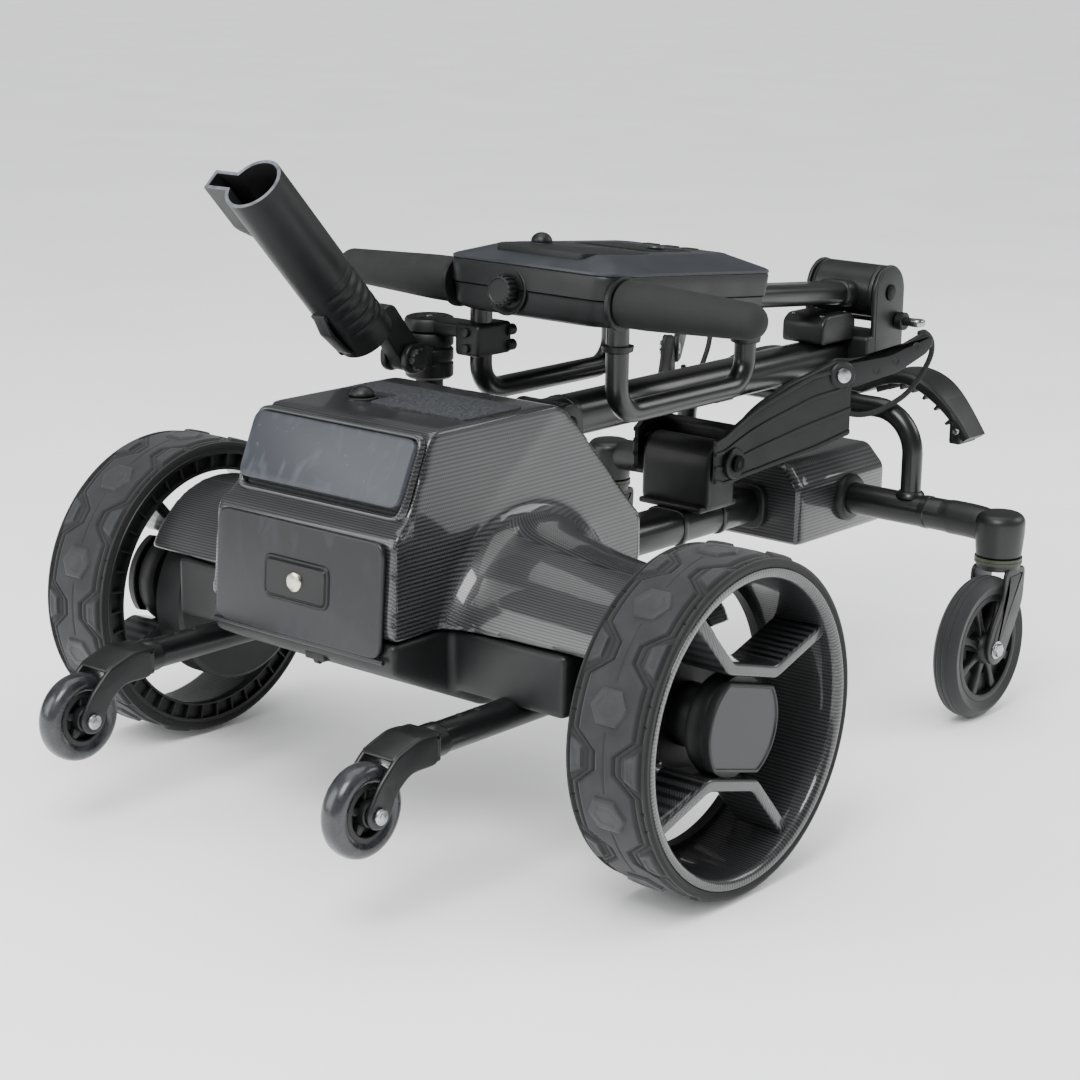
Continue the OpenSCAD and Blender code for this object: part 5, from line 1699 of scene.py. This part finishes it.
    def rails(self) -> Shape:
        """Two U-shaped bars under the console, and the bar that carries the grips."""
        low, turn, shape = 352.0, 28.0, Shape()
        for y in (84, -84):
            first = arc((168 + turn, low + turn), turn, 180, 270, 10)
            last = arc((372 - turn, low + turn), turn, 270, 360, 10)
            line = np.r_[[[168, 446]], first, last, [[372, 428]]]
            path = np.c_[line[:, 0], np.full(len(line), y), line[:, 1]]
            shape.tube(path, 10.9, vec(0, 1, 0), 36)
        shape.rod(vec(155, -237.8, 460), vec(155, 237.8, 460), 9.9, 1, 32)
        return shape

    def grips(self) -> Shape:
        """Foam grips: a turned profile that tapers and ends in a dome."""
        y = np.array([102.6, 103.2, 105, 130, 150, 170, 190, 210, 225, 236])
        r = np.array([17, 20.8, 21.9, 21.7, 20.9, 19.9, 19.0, 18.1, 17.4, 16.9])
        t = np.linspace(0, math.pi / 2, 10)[1:]
        dome = np.c_[16.9 * np.cos(t) ** 0.8, 240 + 16.8 * np.sin(t) ** 1.1]
        profile = np.r_[[[0, 102.6]], np.c_[r, y], dome]
        shape = Shape()
        for sign in (1, -1):
            grip = Shape().turn(profile.tolist(), vec(155, 0, 460), 1, 64, closed=False)
            shape.join(grip.on(sign))
        return shape

    def fluted(self, radius: float, depth: float, count: int, low: float, high: float, centre: Array, axis: Array,
               dome: float = 0.0) -> Shape:
        """A knob: its radius waves round it, radius - depth (1 + cos(count a)) / 2, and fades at the rim.

        Args:
            radius: the radius over the flutes.
            depth: how deep the flutes are.
            count: how many there are.
            low: height of the foot along the axis.
            high: height of the rim.
            centre: a point on the axis.
            axis: the axis's direction.
            dome: how far the middle of the face stands above its dished ring.
        Returns:
            The knob.
        """
        d = unit(axis)
        u = unit(np.cross(d, vec(0, 1, 0) if abs(d[1]) < 0.9 else vec(1, 0, 0)))
        v = np.cross(d, u)
        a = np.linspace(0, 2 * math.pi, count * 10, endpoint=False)
        wave = depth * smooth((1 + np.cos(count * a)) / 2 * 1.6 - 0.3)
        steps = [(low, radius * 0.72, 0.0), (low, radius - 0.6, 0.6), (low + 0.8, radius, 1), (high - 1.6, radius, 1),
                 (high - 0.6, radius - 0.7, 0.8), (high, radius - 2.4, 0.1), (high, radius - 3.4, 0),
                 (high - 0.7, radius - 4.2, 0), (high - 0.7 + dome, radius * 0.3, 0)]
        rings = [centre + (r - wave * k)[:, None] * (np.cos(a)[:, None] * u + np.sin(a)[:, None] * v) + h * d
                 for h, r, k in steps]
        return Shape().skin(np.array(rings))

    def knob(self) -> Shape:
        """The ribbed round knob on the console's rear face."""
        s = self.stand()
        shape = self.fluted(14.9, 1.5, 18, 0.2, 11.9, s.at(vec(self.rear, *self.knob_at)), -s.axes[0])
        shape.rod(s.at(vec(self.rear + 1, *self.knob_at)), s.at(vec(self.rear + 12, *self.knob_at)), 2.9, 0.3, 24)
        return shape

    def jog(self) -> Shape:
        """The jog dial: a smooth dome."""
        s = self.stand()
        t = np.linspace(0, math.pi / 2, 12)
        profile = np.r_[[[0, 44]], [[2.9, 44]], [[2.9, 50.2]], [[10.2, 50.2]],
                        np.c_[10.4 * np.cos(t), 51 + 8.9 * np.sin(t)]]
        return Shape().turn(profile.tolist(), s.at(vec(*self.jog_at, 0)), s.axes[2], 56, closed=False)

    def key(self) -> Shape:
        """The mode key: a round button with a dished top."""
        s = self.stand()
        profile = [(0, 42.2), (5.9, 42.2), (5.9, 51.1), (8.6, 51.1), (8.9, 51.6), (8.2, 53.2), (7.4, 53.35),
                   (4, 52.7), (0, 52.6)]
        return Shape().turn(profile, s.at(vec(*self.key_at, 0)), s.axes[2], 56, closed=False)


# ---- Umbrella holder ----


@dataclass
class Umbrella:
    """The umbrella holder: clamp on the guard bar, stacked post, keyhole tube and its cam levers."""

    finishes: Finishes
    post_x: float = 166.0
    post_y: float = 150.0
    foot: tuple = (75.0, 411.0)  # x and z of the tube's lower end
    lean: float = 43.0
    length: float = 212.0
    bore: float = 25.0

    def stand(self) -> Stand:
        """The tube's frame: z along its bore."""
        return Stand.pitched(self.foot[0], self.post_y, self.foot[1], -self.lean)

    def build(self) -> None:
        """Makes each part."""
        f = self.finishes
        build("umbrella_arm", self.arm(), [f.abs, f.shade_and_screen_black, f.steel], "handle", "umbrella_clamp")
        build("umbrella_stack", self.stack(), [f.abs, f.steel], "umbrella_post", "umbrella_post")
        build("umbrella_sleeve", self.sleeve(), [f.abs, f.rim_grey, f.shade_and_screen_black], "umbrella_tube", "umbrella_tube")
        build("umbrella_cam", self.cam(), [f.abs], "umbrella_lever", "umbrella_lever")

    def arm(self) -> Shape:
        """The clamp block with its bolt, the flat arm and the disc with a star of slots."""
        shape = Shape()
        shape.block((146.3, 68.3, 388.3), (195.7, 99.6, 419.7), 4)
        arm = rounded([(150.5, 96), (181.5, 96), (183, 118), (180, 146), (152, 146), (149.5, 118)], 6, 6)
        shape.slab(arm, 404.3, 417.6, 3)
        x, y = self.post_x, self.post_y
        shape.turn([(0, 404.4), (22.5, 404.4), (24.7, 406), (24.9, 415), (23.4, 417.6), (20.6, 418.8), (18.8, 418.9),
                    (18.2, 418.0), (0, 418.0)], vec(x, y, 0), 2, 80, closed=False)
        for i in range(5):
            a = math.radians(72 * i + 20)
            out, flat = vec(math.cos(a), math.sin(a), 0), vec(-math.sin(a), math.cos(a), 0)
            stand = Stand(vec(x, y, 417.2), np.array([out, flat, vec(0, 0, 1)]))
            shape.slab(rounded([(4, -3.2), (16, -5.4), (16, 5.4), (4, 3.2)], 3, 5), 0, 1.5, 0.5, stand)
        shape.rod(vec(x, y, 417), vec(x, y, 418.9), 3.4, 0.4, 6, finish=2)
        for z in (396, 412):
            shape.rod(vec(142.5, 84, z), vec(147, 84, z), 4.6, 0.8, 24)
        for z in (396, 411):
            shape.rod(vec(188, 70, z), vec(199.5, 70, z), 5.6, 1.2, 28)
        return shape

    def stack(self) -> Shape:
        """The post: stacked rings with grooves, a stub below, and two ears that hold the tilt bolt."""
        x, y = self.post_x, self.post_y
        profile = [(0, 346.3), (12.4, 346.3), (13.8, 347.6), (13.8, 357.6), (21.5, 357.8), (23.8, 360),
                   (23.9, 372), (23.2, 373),
                   (22.2, 373.4), (22.2, 375), (23.2, 375.4), (23.9, 376.4), (23.9, 386), (23, 387.2), (20.5, 387.6),
                   (20.5, 390), (23.4, 390.4), (23.9, 391.6), (23.9, 400.6), (22.6, 403.2), (5.8, 403.3),
                   (5.8, 412.8), (0, 412.8)]
        shape = Shape().turn(profile, vec(x, y, 0), 2, 80, closed=False)
        ear = rounded([(113.4, 375), (121, 367.4), (150, 369), (158, 372), (158, 386), (146, 396), (121, 396.6),
                       (113.4, 389)], 7, 6)
        for a, b in ((y - 17.9, y - 10.2), (y + 10.2, y + 17.9)):
            shape.slab(ear, a, b, 1.8, UPRIGHT)
        c = vec(128, y, 382)
        shape.rod(c + vec(0, -17.9, 0), c + vec(0, 17.9, 0), 4.9, 0.4, 28, finish=1)
        shape.turn([(0, -24.8), (7, -24.8), (10.6, -23.6), (11.7, -21), (11.7, -18), (0, -18)], c, 1, 6, closed=False)
        shape.turn([(0, 18), (8.9, 18), (8.9, 20.8), (7.9, 21.9), (0, 21.9)], c, 1, 48, closed=False, finish=1)
        shape.join(Handle(self.finishes).fluted(11.6, 1.6, 9, 17.9, 24.6, c, vec(0, -1, 0)))
        return shape

    def outline(self, grow: float, key: float) -> Array:
        """The keyhole in plan: a circle of radius bore + grow with a channel towards +Y.

        Round the circle the radius is constant; inside the channel's angle the edge runs out along
        straight walls to the channel's end.

        Args:
            grow: how far outside the bore the line runs.
            key: 0 for a plain circle, up to 1 for the full channel.
        Returns:
            The outline's 88 points.
        """
        r = self.bore + grow
        half = 7 + grow
        n = 88
        a = np.linspace(0, 2 * math.pi, n, endpoint=False) + math.pi / 2 + 0.001
        x, y = r * np.cos(a), r * np.sin(a)
        reach = 52 + grow
        open_angle = math.asin(min(half / r, 1))
        inside = np.abs((a - math.pi / 2 + math.pi) % (2 * math.pi) - math.pi) < open_angle + 0.24
        side = np.clip(((a - math.pi / 2 + math.pi) % (2 * math.pi) - math.pi) / (open_angle + 0.24), -1, 1)
        walk = np.abs(side)
        wall = smooth((1 - walk) / 0.62)
        kx = -np.sign(side) * half * np.clip(walk / 0.42, 0, 1)
        base_y = math.sqrt(r * r - half * half) * 0.97
        ky = base_y + (reach - base_y) * np.clip(wall * 1.15, 0, 1)
        x = np.where(inside, x + (kx - x) * key, x)
        y = np.where(inside, y + (ky - y) * key, y)
        return np.c_[x, y]

    def sleeve(self) -> Shape:
        """The tube: outer wall with flutes, channel housing, pale mouth rim, bore in near black painted shade, and
        its lug.
        """
        s, length = self.stand(), self.length
        heights = np.r_[np.linspace(0, 120, 70), np.linspace(122, 150, 12), np.linspace(153, length - 0.8, 14)]
        keys = smooth((heights - 132) / 26)
        rows = []
        for h, k in zip(heights, keys):
            ring = self.outline(3.9, k)
            angle = np.arctan2(ring[:, 1], ring[:, 0])
            faces_low = smooth((np.cos(angle + 1.2) - 0.1) / 0.5)
            band = np.where((h > 16) & (h < 88), np.abs(np.sin((h - 16) / 72 * math.pi * 6)), 1.0)
            fade = smooth((h - 14) / 8) * smooth((92 - h) / 12)
            dip = 1.5 * faces_low * (1 - smooth(band * 1.4)) * fade
            rows.append(np.c_[ring * (1 - dip / 29)[:, None], np.full(len(ring), h)])
        rim = [(3.3, length), (0.9, length), (0.3, length - 0.7)]
        foot = np.c_[self.outline(2.4, 0), np.zeros(88)]
        outer = np.array(rows)
        shape = Shape().grid(s.at(np.r_[[foot], outer]), around=True)
        mouth = np.array([outer[-1]] + [np.c_[self.outline(g, 1), np.full(88, h)] for g, h in rim])
        shape.grid(s.at(mouth), around=True, finish=1)
        inner_h = np.r_[length - 0.7, np.linspace(length - 4, 156, 10), np.linspace(150, 130, 8),
                        np.linspace(120, 5, 8)]
        inner_k = smooth((inner_h - 132) / 26)
        inner = [np.c_[self.outline(0.3, k), np.full(88, h)] for h, k in zip(inner_h, inner_k)]
        # The bore takes near black painted shade.
        shape.grid(s.at(np.array(inner)), around=True, finish=2)
        shape.add(s.at(inner[-1]), [list(range(88))], 2)
        shape.add(s.at(foot), [list(range(88))])
        lug = rounded([(114.4, 382), (120, 370), (135, 369), (150, 384), (104, 440), (80, 428)], 9, 6)
        shape.slab(lug, self.post_y - 9.5, self.post_y + 9.5, 2, UPRIGHT)
        guard = rounded([(-26, 2), (-31.5, 10), (-35.5, 40), (-30, 62), (-28, 62), (-28, 4)], 3, 6)
        side = Stand(s.origin, np.array([s.axes[0], s.axes[2], s.axes[1]]))
        shape.slab(guard, -9, 9, 2.5, side)
        return shape

    def cam(self) -> Shape:
        """The cam lever beside the mouth: a round pivot and a bowed tongue."""
        s = self.stand()
        shape = Shape()
        c = s.at(vec(11.6, 42, self.length - 58))
        shape.turn([(0, 0), (6.8, 0), (7.9, 1), (7.9, 9.6), (6.8, 10.7), (0, 10.7)], c, s.axes[0], 48, closed=False)
        tongue = rounded([(36.4, self.length - 60), (36.2, self.length - 78), (39, self.length - 91.6),
                          (44, self.length - 91.8),
                          (48.6, self.length - 74), (48.8, self.length - 58.4), (42, self.length - 58.2)], 4, 6)
        plane = Stand(s.origin, np.array([s.axes[1], s.axes[2], s.axes[0]]))
        shape.slab(tongue, 12.2, 21.8, 2.4, plane)
        return shape


# ---- Lower bag cradle ----


@dataclass
class Cradle:
    """The lower cradle: two ribbed arms on a bridge, hinged tips and the elastic cords."""

    finishes: Finishes
    pivot: tuple = (397.0, 264.0)
    rivet: tuple = (505.0, 111.0, 348.0)
    splay: float = math.degrees(math.atan2(18, 30))

    def build(self) -> None:
        """Makes the arms, then each side's tip and cord."""
        f = self.finishes
        build("bag_arms", self.arms(), [f.abs, f.foam, f.steel], "cradle", "cradle_arms")
        for name, side in SIDES.items():
            build("arm_tip_" + name, self.tip().on(side), [f.abs, f.steel], "cradle_tip_" + name,
                  "cradle_tip_" + name)
            build("elastic_" + name, self.cord().on(side), [f.cord], "cradle_tip_" + name, "bungee_" + name,
                  slot="cord_black")

    def band(self, low: list, high: list, inner: float, outer: float) -> Array:
        """An arm's body: sections from hinge to rivet, each an upright rounded rectangle.

        The plan line is a smooth curve; at each of its points the section spans inner to outer along
        the line's normal, and low to high in height. It thins to the line at either end.

        Args:
            low: (x, z) pairs of the lower edge.
            high: (x, z) pairs of the upper edge.
            inner: how far the inner face is from the line.
            outer: how far the outer face is from it.
        Returns:
            One ring of points for each place on the line.
        """
        line = curve([(374, 48), (420, 58.6), (455, 78.4), (486, 98.4), (515, 115.4)], 9)
        ahead = unit(np.gradient(line, axis=0))
        normal = np.c_[-ahead[:, 1], ahead[:, 0]]
        z0 = np.interp(line[:, 0], *np.array(low).T)
        z1 = np.interp(line[:, 0], *np.array(high).T)
        section = oblong(0, 0, 1, 1, 0.2, 6)
        start = np.interp(line[:, 0], [400, 432, 498, 518], [0.2, inner, inner, 0.2])[:, None]
        t = start + (outer - start) * section[None, :, 0]
        z = z0[:, None] + (z1 - z0)[:, None] * section[None, :, 1]
        plan = line[:, None] + normal[:, None] * t[..., None]
        return np.concatenate([plan, z[..., None]], -1)

    def arms(self) -> Shape:
        """Both arms, their lengthwise ribs, the bridge, eyes and rivets."""
        shape = Shape()
        low = [(374, 245), (385, 241), (430, 250.5), (480, 268.5), (516, 285), (520, 288)]
        high = [(374, 288), (400, 299), (455, 339), (500, 362), (520, 358)]
        for sign in (1, -1):
            arm = Shape()
            arm.skin(self.band(low, high, -8.0, 4.4))
            for share in (0.02, 0.34, 0.66, 0.93):
                lo = [(x, z + (np.interp(x, *np.array(high).T) - z) * share) for x, z in low]
                hi = [(x, z + 4.4) for x, z in lo]
                arm.skin(self.band(lo, hi, 0.2, 5.9))
            arm.turn([(6.2, 50.8), (15, 50.8), (16, 52), (16, 59.8), (14.6, 61), (6.2, 61)],
                     vec(self.pivot[0], 0, self.pivot[1]), 1, 56)
            s = Stand.turned(*self.rivet, self.splay)
            arm.turn([(3.2, -4.6), (13, -4.6), (14, -3.6), (14, 5.2), (12.6, 6.3), (3.2, 6.3)], s.origin,
                     s.axes[1], 48)
            shape.join(arm.on(sign))
        shape.slab(rounded([(424.3, 254.5), (435.7, 256.5), (435.7, 295.7), (424.3, 291.6)], 4, 5), -61, 61, 1.6,
                   UPRIGHT)
        for y in (-40, -20, 0, 20, 40):
            shape.block((434, y - 1.5, 258), (436, y + 1.5, 293), 0.6)
        return shape

    def tip(self) -> Shape:
        """A hinged tip: a ribbed tongue with cord holes, its rivet and a hooked end."""
        s = Stand.turned(*self.rivet, self.splay)
        stand = Stand(s.origin, PLATE @ s.axes)
        outline = rounded([(-14, -14), (20, -16), (70, -2), (104, 18), (108, 34), (96, 38), (60, 20), (16, 14),
                           (-6, 16),
                           (-16, 4)], 8, 6)
        shape = Shape().slab(outline, -12, -5.7, 1.8, stand)
        shape.slab(inset(outline, 3.4), -11.0, -5.6, 0.8, stand)
        for x, z in ((44, 1), (66, 10), (88, 24)):
            eyelet = levels(arc((x, z), 4.6, 0, 360, 25)[:-1], [(0, -5.7), (0.5, -5.2), (2.2, -5.2), (2.5, -7.0)])
            shape.skin(stand.at(eyelet))
        c, d = s.origin, s.axes[1]
        shape.turn([(0, -5.6), (2.9, -5.6), (2.9, 6.4), (7.2, 6.4), (8, 7.2), (7.4, 8.8), (5, 9.45), (0, 9.5)], c,
                   d, 40,
                   closed=False, finish=1)
        shape.turn([(0, -12.6), (5.6, -12.4), (7.2, -11.6), (7.2, -11), (0, -11)], c, d, 40, closed=False, finish=1)
        block = rounded([(96, 22), (107, 22), (107.6, 33.6), (96.4, 37.4), (90, 33)], 3, 5)
        shape.slab(block, -12, -5.8, 2.4, stand)
        return shape

    def cord(self) -> Shape:
        """The elastic loop: round bar of 6 mm along a smooth line, with a knot's sleeve at its end."""
        loop = curve([(96, -16, 36), (108, -24, 34), (118, -30, 24), (120, -34, 8), (110, -34, -12), (92, -30, -30),
                      (68, -26, -42), (44, -22, -48), (22, -20, -46), (10, -18, -34), (6, -16, -20)], 5)
        s = Stand.turned(*self.rivet, self.splay)
        path = s.at(loop)
        shape = Shape().tube(path, 2.9, s.axes[1], 16)
        for i in (2, len(path) - 4):
            shape.tube(path[i:i + 3], 3.4, s.axes[1], 16)
        return shape


def dress_nodes(finishes: Finishes) -> None:
    """Gives the CAD nodes that still show, the axles, bright steel and soft edges.

    Args:
        finishes: the trolley's materials.
    """
    for name in ("axle_left", "axle_right"):
        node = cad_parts[name]
        node.data.materials.clear()
        node.data.materials.append(finishes.steel)
        weld = node.modifiers.new("weld", "WELD")
        weld.merge_threshold = 1e-5
        rim = node.modifiers.new("edges", "BEVEL")
        rim.width, rim.segments, rim.limit_method, rim.angle_limit = 0.0008, 2, "ANGLE", math.radians(50)
        LOG.info("%s: CAD node dressed", name)


def main() -> None:
    """Builds the trolley, part by part, and logs each part as it is done."""
    logging.basicConfig(level=logging.INFO, format="%(message)s")
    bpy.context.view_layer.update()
    finishes = Finishes()
    Studio().build()
    for part in (DriveWheel, Caster, AntiTip, Housing, Frame, Mast, Handle, Umbrella, Cradle):
        part(finishes).build()
        LOG.info("%s done", part.__name__)
    dress_nodes(finishes)


if __name__ == "__main__":
    main()
